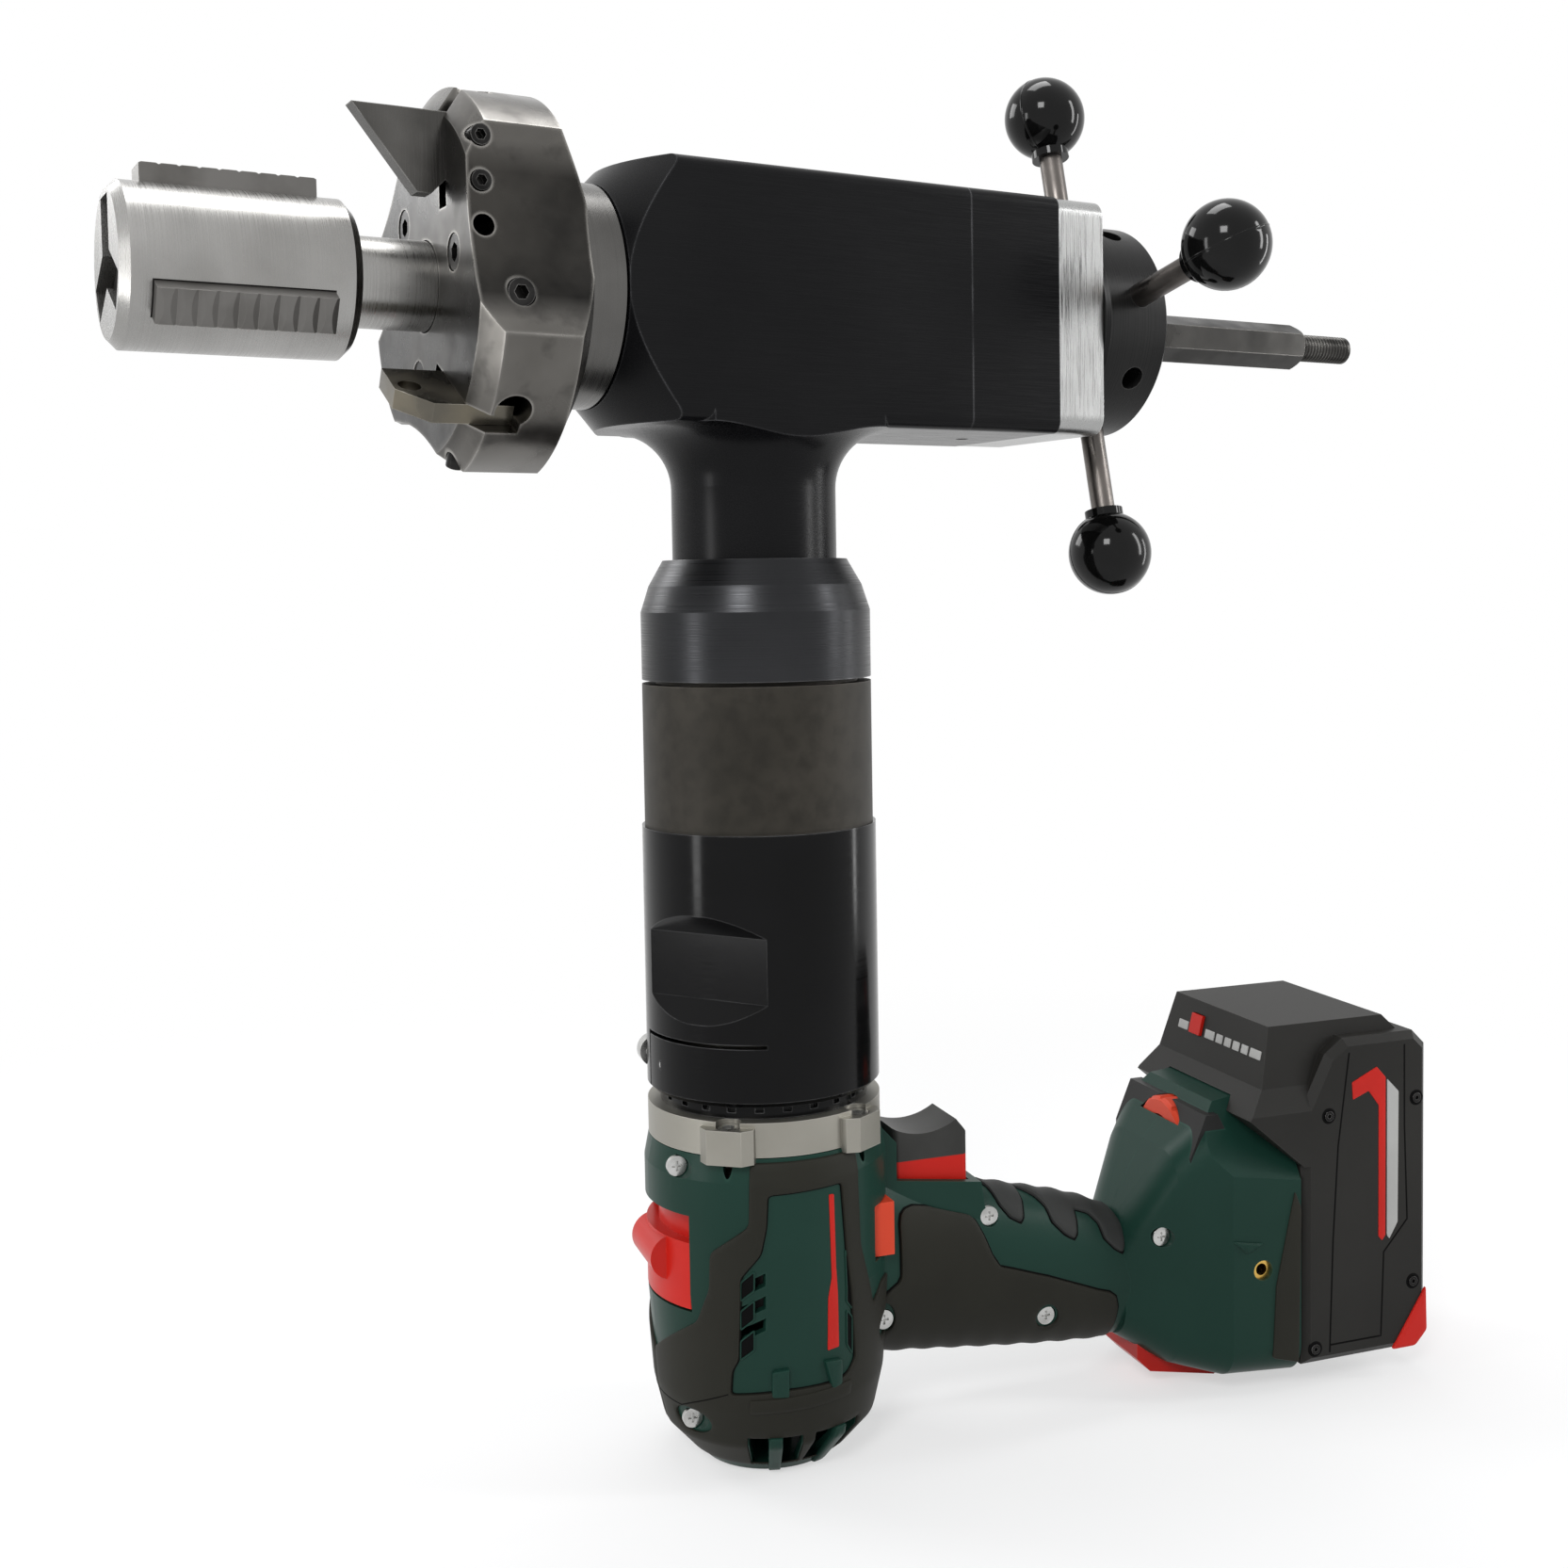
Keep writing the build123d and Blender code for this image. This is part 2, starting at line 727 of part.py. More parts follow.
def main_housing():
    reach = body_height
    slope = tan(radians(nose_cone_angle))
    nose = turned_x([(body_start, 0), (body_start, nose_radius), (body_start + reach, nose_radius + reach * slope),
                     (front_block_end + reach, nose_radius + reach * slope), (front_block_end + reach, 0)])
    body = rounded_block(body_start, front_block_end, body_edge_radius) & nose
    body += at_column(flare_and_neck())
    bearing_end = column_x - front_bearing_start + front_bearing_width
    gear_front = column_x - gear_space_front
    rear_seat = column_x + rear_bearing_station
    rear_seat_end = rear_seat + rear_bearing_width
    upper, lower = pinion_bearing_tops
    cuts = [
        cyl_x(front_bearing_radius, body_start - overrun, bearing_end),
        cyl_x(journal_radius + bearing_race, bearing_end - overrun, front_block_end + overrun),
        cyl_x(gear_space_radius, gear_front, rear_seat),
        cyl_x(rear_bearing_radius, rear_seat - overrun, rear_seat_end),
        cyl_x(lock_ring_radius + spindle_nose_gap, rear_seat_end - overrun, front_block_end + overrun),
        at_column(cyl_z(pinion_bearing_radius, -upper - pinion_bearing_width, 0)),
        at_column(cyl_z(pinion_bearing_radius - bearing_race, -lower, -upper)),
        at_column(cyl_z(pinion_bearing_radius, -flange_bottom - overrun, -lower)),
    ]
    return body.cut(*cuts)


def rear_housing():
    body = rounded_block(front_block_end, rear_block_end, rear_block_edge_radius)
    web_start = front_block_end + key_length / 2
    web_end = rear_block_end - hub_spigot_length
    hole_x = column_x + underside_hole_station
    cuts = [
        cyl_x(lock_ring_radius + spindle_nose_gap, front_block_end - overrun, web_start),
        cyl_x(shaft_radius + moving_gap, web_start - overrun, web_end + overrun),
        cyl_x(hub_flange_radius + moving_gap, web_end, rear_block_end + overrun),
        cyl_z(underside_hole_radius, -half_height - overrun, underside_hole_depth - half_height, hole_x),
    ]
    cuts += torsion_keys()
    cuts += [cyl_x(housing_screw_radius + thread_gap, front_block_end - overrun, rear_block_end + overrun, y, z)
             for y, z in screw_places()]
    return body.cut(*cuts)


def torsion_keys():
    """Two keys in the rear housing that stop the machine turning on the mandrel."""
    start = front_block_end + key_length
    half = keyway_width / 2 - running_gap
    inner = shaft_radius - keyway_depth + moving_gap
    outer = shaft_radius + key_reach
    return [block(start, start + key_length, *sorted((side * inner, side * outer)), -half, half)
            for side in (1, -1)]


def screw_places():
    return [(y * housing_screw_y, z * housing_screw_z) for y in (1, -1) for z in (1, -1)]


def rear_plate():
    plate = rounded_block(rear_block_end, plate_end, plate_edge_radius)
    cuts = [cyl_x(hub_spigot_radius + running_gap, rear_block_end - overrun, plate_end + overrun)]
    for y, z in screw_places():
        seat = plate_end - housing_screw_head_length - moving_gap
        cuts.append(cyl_x(housing_screw_radius + thread_gap, rear_block_end - overrun, plate_end + overrun, y, z))
        cuts.append(cyl_x(housing_screw_head_radius + thread_gap, seat, plate_end + overrun, y, z))
    return plate.cut(*cuts)


def socket_screw_x(radius, head_radius, head_length, start, seat, y, z, facing=1):
    """A cap screw along X. Its head lies beyond the seat, on the side that it faces."""
    head_end = seat + facing * head_length
    socket_depth = head_length * socket_share
    shank = cyl_x(radius, *sorted((start, seat + facing * head_length * socket_share)), y, z)
    head = cyl_x(head_radius, *sorted((seat, head_end)), y, z)
    hexagon = RegularPolygon(head_radius * socket_share, 6)
    low = min(head_end, head_end - facing * socket_depth)
    socket = Pos(low, y, z) * Rot(0, 90, 0) * extrude(hexagon, amount=socket_depth)
    return shank + head - socket


def housing_screws():
    seat = plate_end - housing_screw_head_length - moving_gap
    return [socket_screw_x(housing_screw_radius, housing_screw_head_radius, housing_screw_head_length,
                           front_block_end + moving_gap, seat, y, z) for y, z in screw_places()]


# Spindle

def spindle():
    nose_end = nose_start + spindle_nose_length
    rear = column_x + front_block_rear - key_length / 2
    profile = [
        (nose_start - spigot_length, spindle_bore), (nose_start - spigot_length, spigot_radius),
        (nose_start, spigot_radius), (nose_start, nose_radius), (nose_end, nose_radius),
        (nose_end, journal_radius + bearing_race), (column_x - front_bearing_start, journal_radius + bearing_race),
        (column_x - front_bearing_start, journal_radius), (rear, journal_radius), (rear, spindle_bore),
    ]
    body = turned_x(profile)
    holes = [cyl_x(head_screw_radius, nose_start - overrun, nose_end - moving_gap * 10, y, z)
             for y, z in head_screw_places()]
    return body.cut(*holes)


def head_screw_places():
    places = []
    for index in range(lobe_count):
        turn = radians(lobe_angle + 120 * index + 60)
        places.append((-head_screw_circle * sin(turn), head_screw_circle * cos(turn)))
    return places


def bevel_gear():
    back = pinion_teeth * bevel_module / 2 + bevel_face
    gear = bevel_gear_blank(gear_teeth, pinion_teeth, back, journal_radius, bevel_hub_radius)
    return at_column(Rot(0, 90, 0) * gear)


def bevel_pinion():
    gear = bevel_gear_blank(pinion_teeth, gear_teeth, pinion_back, 0, pinion_shaft_radius + bearing_race,
                            180 / pinion_teeth)
    shaft = cyl_z(pinion_shaft_radius, -carrier_top - carrier_thickness / 2, -pinion_back + bearing_race)
    return at_column(Rot(180, 0, 0) * gear + shaft)


def spindle_bearings():
    front = ball_bearing(front_bearing_radius, journal_radius + running_gap, front_bearing_width)
    rear = ball_bearing(rear_bearing_radius, journal_radius + running_gap, rear_bearing_width)
    placed = [Pos(column_x - front_bearing_start, 0, 0) * Rot(0, 90, 0) * piece for piece in front]
    placed += [Pos(column_x + rear_bearing_station, 0, 0) * Rot(0, 90, 0) * piece for piece in rear]
    return placed


def spindle_lock_ring():
    start = column_x + rear_bearing_station + rear_bearing_width + moving_gap
    return ring_x(lock_ring_radius, journal_radius, start, start + lock_ring_width)


def column_bearings():
    pieces = []
    for top in pinion_bearing_tops:
        race = ball_bearing(pinion_bearing_radius, pinion_shaft_radius + running_gap, pinion_bearing_width)
        pieces += [at_column(Pos(0, 0, -top - pinion_bearing_width) * piece) for piece in race]
    race = ball_bearing(sun_bearing_radius, sun_shaft_radius + running_gap, sun_bearing_width)
    return pieces + [at_column(Pos(0, 0, -sun_bearing_top - sun_bearing_width) * piece) for piece in race]


# Cutter head and its tools

def head_profile():
    front = column_x - head_front
    rear = nose_start
    front_in, front_down = head_front_chamfer
    rear_in, rear_down = head_rear_chamfer
    return turned_x([(front, shaft_radius + moving_gap), (front, head_radius - front_down),
                     (front + front_in, head_radius), (rear - rear_in, head_radius),
                     (rear, head_radius - rear_down), (rear, spigot_radius),
                     (rear - spigot_length - moving_gap, spigot_radius),
                     (rear - spigot_length - moving_gap, shaft_radius + moving_gap)])


def slot_range():
    """Near and far Y of a tool slot, for the lobe whose slot stands along Z."""
    return -slot_near, slot_width - slot_near


def cutter_head():
    front = column_x - head_front
    sagitta = head_radius - head_radius * cos(radians(scallop_half_angle))
    chord = head_radius * sin(radians(scallop_half_angle))
    depth = head_radius - sagitta - scallop_floor
    scallop_radius = (chord ** 2 + depth ** 2) / (2 * depth)
    near, far = slot_range()
    cuts = []
    for index in range(lobe_count):
        turn = 120 * index
        middle = lobe_angle + 60 + turn
        scallop = cyl_x(scallop_radius, front - overrun, nose_start + overrun, 0, scallop_floor + scallop_radius)
        cuts.append(around_x(scallop, middle))
        pocket = [
            block(front - overrun, front + slot_depth, near, far, slot_floor_radius, head_radius + overrun),
            cyl_z(relief_radius, head_radius - 2 * relief_depth, head_radius + overrun, front + relief_depth,
                  -relief_offset),
        ]
        for height in tool_screw_heights:
            pocket.append(cyl_y(tool_screw_radius, -head_radius, near + overrun,
                                front + tool_screw_setback, height))
        pocket.append(cyl_y(lock_screw_radius, -head_radius, near, front + lock_screw_setback, lock_screw_height))
        cuts += [around_x(piece, turn) for piece in pocket]
    for y, z in head_screw_places():
        cuts.append(cyl_x(head_screw_radius + thread_gap, front - overrun, nose_start + overrun, y, z))
        cuts.append(cyl_x(head_screw_head_radius + thread_gap, front - overrun,
                          front + head_screw_head_length + moving_gap, y, z))
    return head_profile().cut(*cuts)


def head_screws():
    front = column_x - head_front
    seat = front + head_screw_head_length + moving_gap
    tip = nose_start + spindle_nose_length / 2
    return [socket_screw_x(head_screw_radius, head_screw_head_radius, head_screw_head_length, tip, seat, y, z, -1)
            for y, z in head_screw_places()]


def bit_plate(points, turn):
    """A flat tool bit in the slot of one lobe, from an outline of reach past the front face and height."""
    front = column_x - head_front
    near, far = slot_range()
    outline = Polyline(*[(front - reach, near + tool_gap, height) for reach, height in points], close=True)
    plate = extrude(make_face(outline), amount=far - near - 2 * tool_gap, dir=(0, 1, 0))
    return around_x(plate, turn)


def bevel_tool_bit():
    back = -(slot_depth - tool_gap)
    low_reach = bit_reach - (bit_tip_height - bit_low_height) * tan(radians(bevel_angle))
    shoulder = bit_low_height + low_reach / 2
    points = [(bit_reach, bit_tip_height), (low_reach, bit_low_height), (low_reach / 2, bit_low_height),
              (0, shoulder), (back, shoulder), (back, bit_tip_height)]
    return bit_plate(points, 0)


def facing_tool_bit():
    back = -(slot_depth - tool_gap)
    points = [(facing_reach, facing_height - facing_reach / 2), (facing_reach, facing_low_height),
              (back, facing_low_height), (back, facing_height), (facing_reach / 2, facing_height)]
    turn = 360 / lobe_count
    bit = bit_plate(points, turn)
    front = column_x - head_front
    near = slot_range()[0]
    middle = (facing_height + facing_low_height) / 2
    groove = cyl_z(chip_groove_radius, facing_low_height - overrun, facing_height - overrun,
                   front - facing_reach * 0.4, near - chip_groove_radius / 3)
    hole = cyl_y(bit_hole_radius, near - overrun, near + slot_width + overrun, front - facing_reach * 0.72, middle)
    return bit.cut(around_x(groove, turn), around_x(hole, turn))


def set_screw_y(radius, start, end, x, z):
    hexagon = extrude(RegularPolygon(radius * socket_share, 6), amount=radius)
    return cyl_y(radius, start, end, x, z) - Pos(x, start, z) * Rot(-90, 0, 0) * hexagon


def tool_set_screws():
    """Set screws that clamp the bits, and the larger screw that stands proud of each scallop."""
    front = column_x - head_front
    near = slot_range()[0]
    screws = []
    for index in (0, 1):
        for height in tool_screw_heights[:2]:
            screw = set_screw_y(tool_screw_radius - thread_gap, near - tool_screw_length, near,
                                front + tool_screw_setback, height)
            screws.append(around_x(screw, 120 * index))
    for index in range(lobe_count):
        screw = set_screw_y(lock_screw_radius - thread_gap, -scallop_floor - lock_screw_proud, near - moving_gap,
                            front + lock_screw_setback, lock_screw_height)
        screws.append(around_x(screw, 120 * index))
    return screws


# Feed hub

def lever_turns():
    return [-lever_lean + 360 / lever_count * index for index in range(lever_count)]


def feed_hub():
    spigot_end = rear_block_end - moving_gap
    thread_end = spigot_end - hub_flange_length
    hub = turned_x([
        (thread_end, hub_thread_radius), (thread_end, hub_spigot_radius - bearing_race),
        (spigot_end, hub_spigot_radius - bearing_race), (spigot_end, hub_spigot_radius),
        (hub_start, hub_spigot_radius), (hub_start, hub_radius - nut_chamfer),
        (hub_start + nut_chamfer, hub_radius), (hub_end - nut_chamfer, hub_radius),
        (hub_end, hub_radius - nut_chamfer), (hub_end, hub_thread_radius),
    ])
    cuts = []
    for turn in lever_turns():
        cuts.append(around_x(cyl_z(lever_radius + running_gap, lever_seat_radius, hub_radius + overrun, lever_x), turn))
        spare = cyl_z(lever_radius, hub_radius - spare_hole_depth, hub_radius + overrun, lever_x)
        cuts.append(around_x(spare, turn + 180 / lever_count))
    return hub.cut(*cuts)


def hub_retainer():
    end = rear_block_end - moving_gap
    return ring_x(hub_flange_radius, hub_spigot_radius - bearing_race, end - hub_flange_length, end)


def feed_levers():
    top = ball_distance - ball_radius + lever_in_ball
    return [around_x(cyl_z(lever_radius, lever_seat_radius + running_gap, top, lever_x), turn)
            for turn in lever_turns()]


def ball_knobs():
    bottom = ball_distance - ball_radius
    knob = Pos(lever_x, 0, ball_distance) * Sphere(ball_radius)
    knob += cyl_z(ball_neck_radius, bottom - ball_neck_length / 4, bottom + ball_neck_length, lever_x)
    knob -= cyl_z(lever_radius + running_gap, bottom - overrun, bottom + lever_in_ball + running_gap, lever_x)
    return [around_x(knob, turn) for turn in lever_turns()]


# Motor column

def collar_nut():
    bulge = (collar_top_radius + column_radius) / 2 + collar_bulge
    inner = neck_radius + moving_gap
    thread = flange_radius + moving_gap
    return at_column(turned_z([
        (inner, collar_top), (collar_top_radius, collar_top), (bulge, (collar_top + collar_shoulder) / 2),
        (column_radius, collar_shoulder), (column_radius, collar_bottom), (thread, collar_bottom),
        (thread, collar_lip), (inner, collar_lip),
    ]))


def gear_sleeve():
    """The sleeve between the collar and the adaptor, with the reducer's ring teeth inside."""
    ring_pitch = ring_teeth * spur_module / 2
    bore = ring_pitch + 1.4 * spur_module
    face_top = planet_top - spur_module / 2
    face_bottom = planet_top + planet_face + spur_module / 2
    seat = sun_bearing_top
    body = turned_z([
        (carrier_radius + spur_module, flange_bottom), (flange_radius, flange_bottom), (flange_radius, sleeve_top),
        (column_radius, sleeve_top), (column_radius, sleeve_bottom), (sun_bearing_radius, sleeve_bottom),
        (sun_bearing_radius, seat), (sun_bearing_radius - bearing_race, seat),
        (sun_bearing_radius - bearing_race, seat - bearing_race), (bore, face_bottom),
        (carrier_radius, face_bottom), (carrier_radius, face_top), (carrier_radius + spur_module, face_top),
    ])
    teeth = spur_face(ring_teeth, spur_module, ring_pitch - 0.8 * spur_module, bore,
                      1 + backlash_share, 180 / ring_teeth)
    cavity = Pos(0, 0, -face_bottom - overrun) * extrude(teeth, amount=face_bottom - face_top + 2 * overrun)
    lead = cyl_z(carrier_radius, -face_bottom, -face_top)
    limit = cyl_z(column_radius, -face_bottom, -face_top + overrun)
    return at_column(body.cut(cavity & limit, lead))


def planet_carrier():
    plate = ring_z(carrier_radius, pinion_shaft_radius, carrier_top, carrier_top + carrier_thickness)
    hub = ring_z(pinion_shaft_radius + bearing_race, pinion_shaft_radius, flange_bottom, carrier_top)
    distance = (sun_teeth + planet_teeth) * spur_module / 2
    bottom = -planet_top - planet_face - spur_module / 2
    pins = [Rot(0, 0, 360 / planet_count * index)
            * cyl_z(planet_pin_radius, bottom, -carrier_top - carrier_thickness / 2, distance)
            for index in range(planet_count)]
    return at_column(joined([plate, hub] + pins))


def reducer_planet(index):
    distance = (sun_teeth + planet_teeth) * spur_module / 2
    gear = spur_gear(planet_teeth, planet_top, planet_face, 180 / planet_teeth)
    gear -= cyl_z(planet_pin_radius + running_gap, -planet_top - planet_face - overrun, overrun - planet_top)
    return at_column(Rot(0, 0, 360 / planet_count * index) * Pos(distance, 0, 0) * gear)


def sun_shaft():
    face_bottom = planet_top + planet_face
    gear = spur_gear(sun_teeth, planet_top, planet_face)
    shaft = turned_z([
        (0, face_bottom - bearing_race), (sun_shaft_radius, face_bottom - bearing_race),
        (sun_shaft_radius, coupling_top), (coupling_radius, coupling_top), (coupling_radius, coupling_bottom),
        (drill_spindle_radius, coupling_bottom), (drill_spindle_radius, drill_spindle_top), (0, drill_spindle_top),
    ])
    return at_column(gear + shaft)


def wedge_about_z(start, sweep, top, bottom, inner, outer):
    """A part of a ring, from a start angle, between two depths."""
    outline = Polyline((inner, 0, -top), (outer, 0, -top), (outer, 0, -bottom), (inner, 0, -bottom), close=True)
    return Rot(0, 0, start) * revolve(make_face(outline), Axis.Z, sweep)


def adaptor_sleeve():
    roof = sleeve_bottom + body_edge_radius
    chamber = case_neck_radius - spur_module
    bore = case_neck_radius + running_gap
    body = turned_z([
        (sun_shaft_radius + spur_module, sleeve_bottom), (adaptor_radius, sleeve_bottom),
        (adaptor_radius, adaptor_bottom - adaptor_chamfer), (adaptor_radius - adaptor_chamfer, adaptor_bottom),
        (bore, adaptor_bottom), (bore, case_neck_top), (chamber, case_neck_top), (chamber, roof),
        (sun_shaft_radius + spur_module, roof),
    ])
    outline = Polyline((flat_distance, -flat_depth_half(), -flat_top), (flat_distance, -flat_depth_half(), -flat_bottom),
                       (flat_distance + flat_bow, -flat_depth_half(), -flat_bottom - flat_bow),
                       (flat_distance + flat_bow + overrun, -flat_depth_half(), -flat_bottom - flat_bow),
                       (flat_distance + flat_bow + overrun, -flat_depth_half(), flat_bow - flat_top),
                       (flat_distance + flat_bow, -flat_depth_half(), flat_bow - flat_top), close=True)
    flat = extrude(make_face(outline), amount=2 * flat_depth_half(), dir=(0, 1, 0))
    slit_bottom = clamp_slit_top + clamp_slit_width
    kerf = wedge_about_z(clamp_slit_start, clamp_slit_sweep, clamp_slit_top, slit_bottom,
                         chamber, adaptor_radius + overrun)
    split = Rot(0, 0, clamp_slit_start) * block(chamber, adaptor_radius + overrun, 0, clamp_slit_width,
                                                -adaptor_bottom - overrun, -clamp_slit_top)
    cuts = [Rot(0, 0, flat_angle) * flat, Rot(0, 0, flat_angle + 180) * flat, kerf, split]
    cuts += clamp_screw_room()
    return at_column(body.cut(*cuts))


def flat_depth_half():
    return sqrt(adaptor_radius ** 2 - flat_distance ** 2) + overrun


def clamp_screw_place():
    """Radial distance of the clamp screw, midway in the adaptor's wall."""
    return (adaptor_radius + case_neck_radius) / 2 + running_gap


def clamp_screw_room():
    distance = clamp_screw_place()
    turn = Rot(0, 0, clamp_slit_start)
    seat = clamp_screw_length * 0.3
    hole = cyl_y(clamp_screw_radius + running_gap, -clamp_screw_length * 0.3 - moving_gap, seat + overrun,
                 distance, -clamp_screw_depth)
    head = cyl_y(clamp_screw_head_radius + thread_gap, seat, clamp_screw_length, distance, -clamp_screw_depth)
    return [turn * mirror(hole, Plane.XZ), turn * mirror(head, Plane.XZ)]


def clamp_screw():
    distance = clamp_screw_place()
    seat = clamp_screw_length * 0.3
    shank = cyl_y(clamp_screw_radius, -clamp_screw_length * 0.3, seat, distance, -clamp_screw_depth)
    head = cyl_y(clamp_screw_head_radius, seat, seat + housing_screw_head_length, distance, -clamp_screw_depth)
    hexagon = Pos(distance, seat + housing_screw_head_length / 2, -clamp_screw_depth) * Rot(-90, 0, 0)
    socket = hexagon * extrude(RegularPolygon(clamp_screw_head_radius * socket_share, 6),
                               amount=housing_screw_head_length)
    return at_column(Rot(0, 0, clamp_slit_start) * mirror(shank + head - socket, Plane.XZ))


# Gear case and motor

def torque_ring():
    bottom = torque_ring_top + torque_ring_height
    ring = ring_z(ring_radius, case_neck_radius + running_gap, torque_ring_top, bottom)
    notch = block(ring_radius - notch_depth, ring_radius + overrun, -notch_depth, notch_depth,
                  -torque_ring_top - torque_ring_height / 2, overrun - torque_ring_top)
    return at_column(ring.cut(*[Rot(0, 0, 360 / torque_notches * i) * notch for i in range(torque_notches)]))


def boss_angles():
    """Directions of the four screw bosses, in the motor unit's own frame."""
    return [side + offset for side in (90, -90) for offset in (case_boss_offset_angle, -case_boss_offset_angle)]


def gear_case():
    ring_bottom = case_ring_top + case_ring_height
    inner = case_barrel_radius - case_wall
    body = turned_z([
        (drill_spindle_radius + spur_module, case_neck_top), (case_neck_radius, case_neck_top),
        (case_neck_radius, case_ring_top), (case_ring_radius, case_ring_top), (case_ring_radius, ring_bottom),
        (case_barrel_radius, ring_bottom), (case_barrel_radius, case_barrel_bottom), (inner, case_barrel_bottom),
        (inner, case_neck_top + 2 * case_wall), (drill_spindle_radius + spur_module, case_neck_top + 2 * case_wall),
    ])
    lug = case_boss_half_width
    reach = case_boss_reach
    outline = Polyline((case_barrel_radius, -lug, 0), (reach - case_wall, -lug, 0), (reach, case_wall - lug, 0),
                       (reach, lug - case_wall, 0), (reach - case_wall, lug, 0), (case_barrel_radius, lug, 0),
                       close=True)
    boss = Pos(0, 0, -ring_bottom - case_wall / 2) * extrude(make_face(outline), amount=case_ring_height)
    hole = cyl_z(case_screw_radius, -ring_bottom - overrun, -case_ring_top, case_screw_distance())
    seat = cyl_z(case_screw_head_radius + moving_gap, case_screw_seat(), overrun - case_ring_top,
                 case_screw_distance())
    body = joined([body] + [Rot(0, 0, angle) * boss for angle in boss_angles()])
    cuts = [Rot(0, 0, angle) * piece for angle in boss_angles() for piece in (hole, seat)]
    return body.cut(*cuts)


def case_screw_distance():
    return case_boss_reach - case_wall - case_screw_head_radius / 2


def case_screw_seat():
    return -case_ring_top - case_screw_head_length - case_wall / 2


def gear_case_screws():
    distance = case_screw_distance()
    seat = case_screw_seat()
    bottom = -case_ring_top - case_ring_height - case_wall / 2
    screw = cyl_z(case_screw_radius - running_gap, bottom, seat + case_screw_head_length / 2, distance)
    screw += cyl_z(case_screw_head_radius, seat, seat + case_screw_head_length, distance)
    socket = Pos(distance, 0, seat + case_screw_head_length / 2) * extrude(
        RegularPolygon(case_screw_head_radius * socket_share, 6), amount=case_screw_head_length)
    return [Rot(0, 0, angle) * (screw - socket) for angle in boss_angles()]


def gear_cartridge():
    """The motor unit's own reduction gear, as the closed cartridge that it is bought as."""
    inner = case_barrel_radius - case_wall
    top = case_neck_top + 2 * case_wall
    middle = (top + cartridge_bottom) / 2
    return at_drill(turned_z([
        (drill_spindle_radius + running_gap, top), (inner, top), (inner, cartridge_bottom),
        (rotor_shaft_radius + running_gap, cartridge_bottom), (rotor_shaft_radius + running_gap, middle),
        (drill_spindle_radius + running_gap, middle),
    ]))


def drill_spindle():
    middle = (case_neck_top + 2 * case_wall + cartridge_bottom) / 2
    return at_column(cyl_z(drill_spindle_radius, moving_gap - middle, -drill_spindle_top))


def motor_rotor():
    middle = (case_neck_top + 2 * case_wall + cartridge_bottom) / 2
    shaft = cyl_z(rotor_shaft_radius, -rotor_shaft_bottom, -middle - moving_gap)
    core = cyl_z(rotor_radius, -rotor_bottom, -rotor_top)
    return at_column(shaft + core)


def motor_fan():
    bottom = fan_top + fan_height
    disc = ring_z(fan_radius, rotor_shaft_radius, fan_top, fan_top + fan_blade_thickness)
    hub = ring_z(fan_hub_radius, rotor_shaft_radius, fan_top, bottom)
    blade = block(fan_hub_radius - fan_blade_thickness, fan_radius, -fan_blade_thickness / 2,
                  fan_blade_thickness / 2, -bottom, fan_blade_thickness / 2 - fan_top - fan_blade_thickness)
    return at_column(joined([disc, hub] + [Rot(0, 0, 360 / fan_blades * i) * blade for i in range(fan_blades)]))


def motor_stator():
    ring = ring_z(stator_radius, stator_radius - case_wall, rotor_top - spur_module, rotor_bottom + spur_module)
    inner = rotor_radius + stator_air_gap
    tooth = block(inner + spur_module, stator_radius - case_wall / 2, -case_wall, case_wall,
                  -rotor_bottom - spur_module, spur_module - rotor_top)
    teeth = [Rot(0, 0, 360 / stator_slots * i) * tooth for i in range(stator_slots)]
    body = joined([ring] + teeth) - cyl_z(inner, -rotor_bottom - overrun, overrun - rotor_top)
    return at_drill(body)


# Casing of the motor unit, in its own frame: X along the handle, Y across, column axis at zero

def barrel_form(inset):
    """The turned body of the motor casing, drawn in by the inset, or out where it is negative."""
    end = barrel_end - inset
    return turned_z([
        (0, shell_top + max(inset, 0) / 2), (case_ring_radius - inset, shell_top + max(inset, 0) / 2),
        (barrel_radius - inset, barrel_bulge_top), (barrel_radius - inset, barrel_bulge_bottom),
        (barrel_waist_radius - inset, barrel_waist), (barrel_heel_radius - inset, barrel_heel),
        (barrel_end_radius - inset, end), (0, end),
    ])


def section_x(x, depth, half_tall, half_wide):
    plane = Plane(origin=(x, 0, -depth), x_dir=(0, 1, 0), z_dir=(1, 0, 0))
    return plane * Ellipse(half_wide, half_tall)


def grip_form(inset):
    sections = [section_x(handle_length * along, handle_depth * down, handle_half_height * tall - inset,
                          handle_half_width * wide - inset) for along, down, tall, wide in grip_shares]
    return loft(sections)


def trigger_lip():
    """Depth of the casing's edge in front of the trigger."""
    return trigger_top + 4 * trigger_edge


def trigger_form(inset):
    """The casing around the trigger, from the barrel out to the start of the grip."""
    low = handle_depth * grip_shares[1][1]
    front = trigger_start - moving_gap - inset
    lip = trigger_lip()
    points = [
        (0, shell_top + inset), (case_barrel_radius, shell_top - trigger_edge + inset),
        (front, barrel_bulge_top), (front, lip + inset), (trigger_nose - inset, lip + trigger_edge + inset),
        (trigger_nose + trigger_edge - inset, low), (trigger_nose - trigger_edge, low + 3 * trigger_edge),
        (0, low + 3 * trigger_edge),
    ]
    return slab_y(points, trigger_nose_half_width - inset)


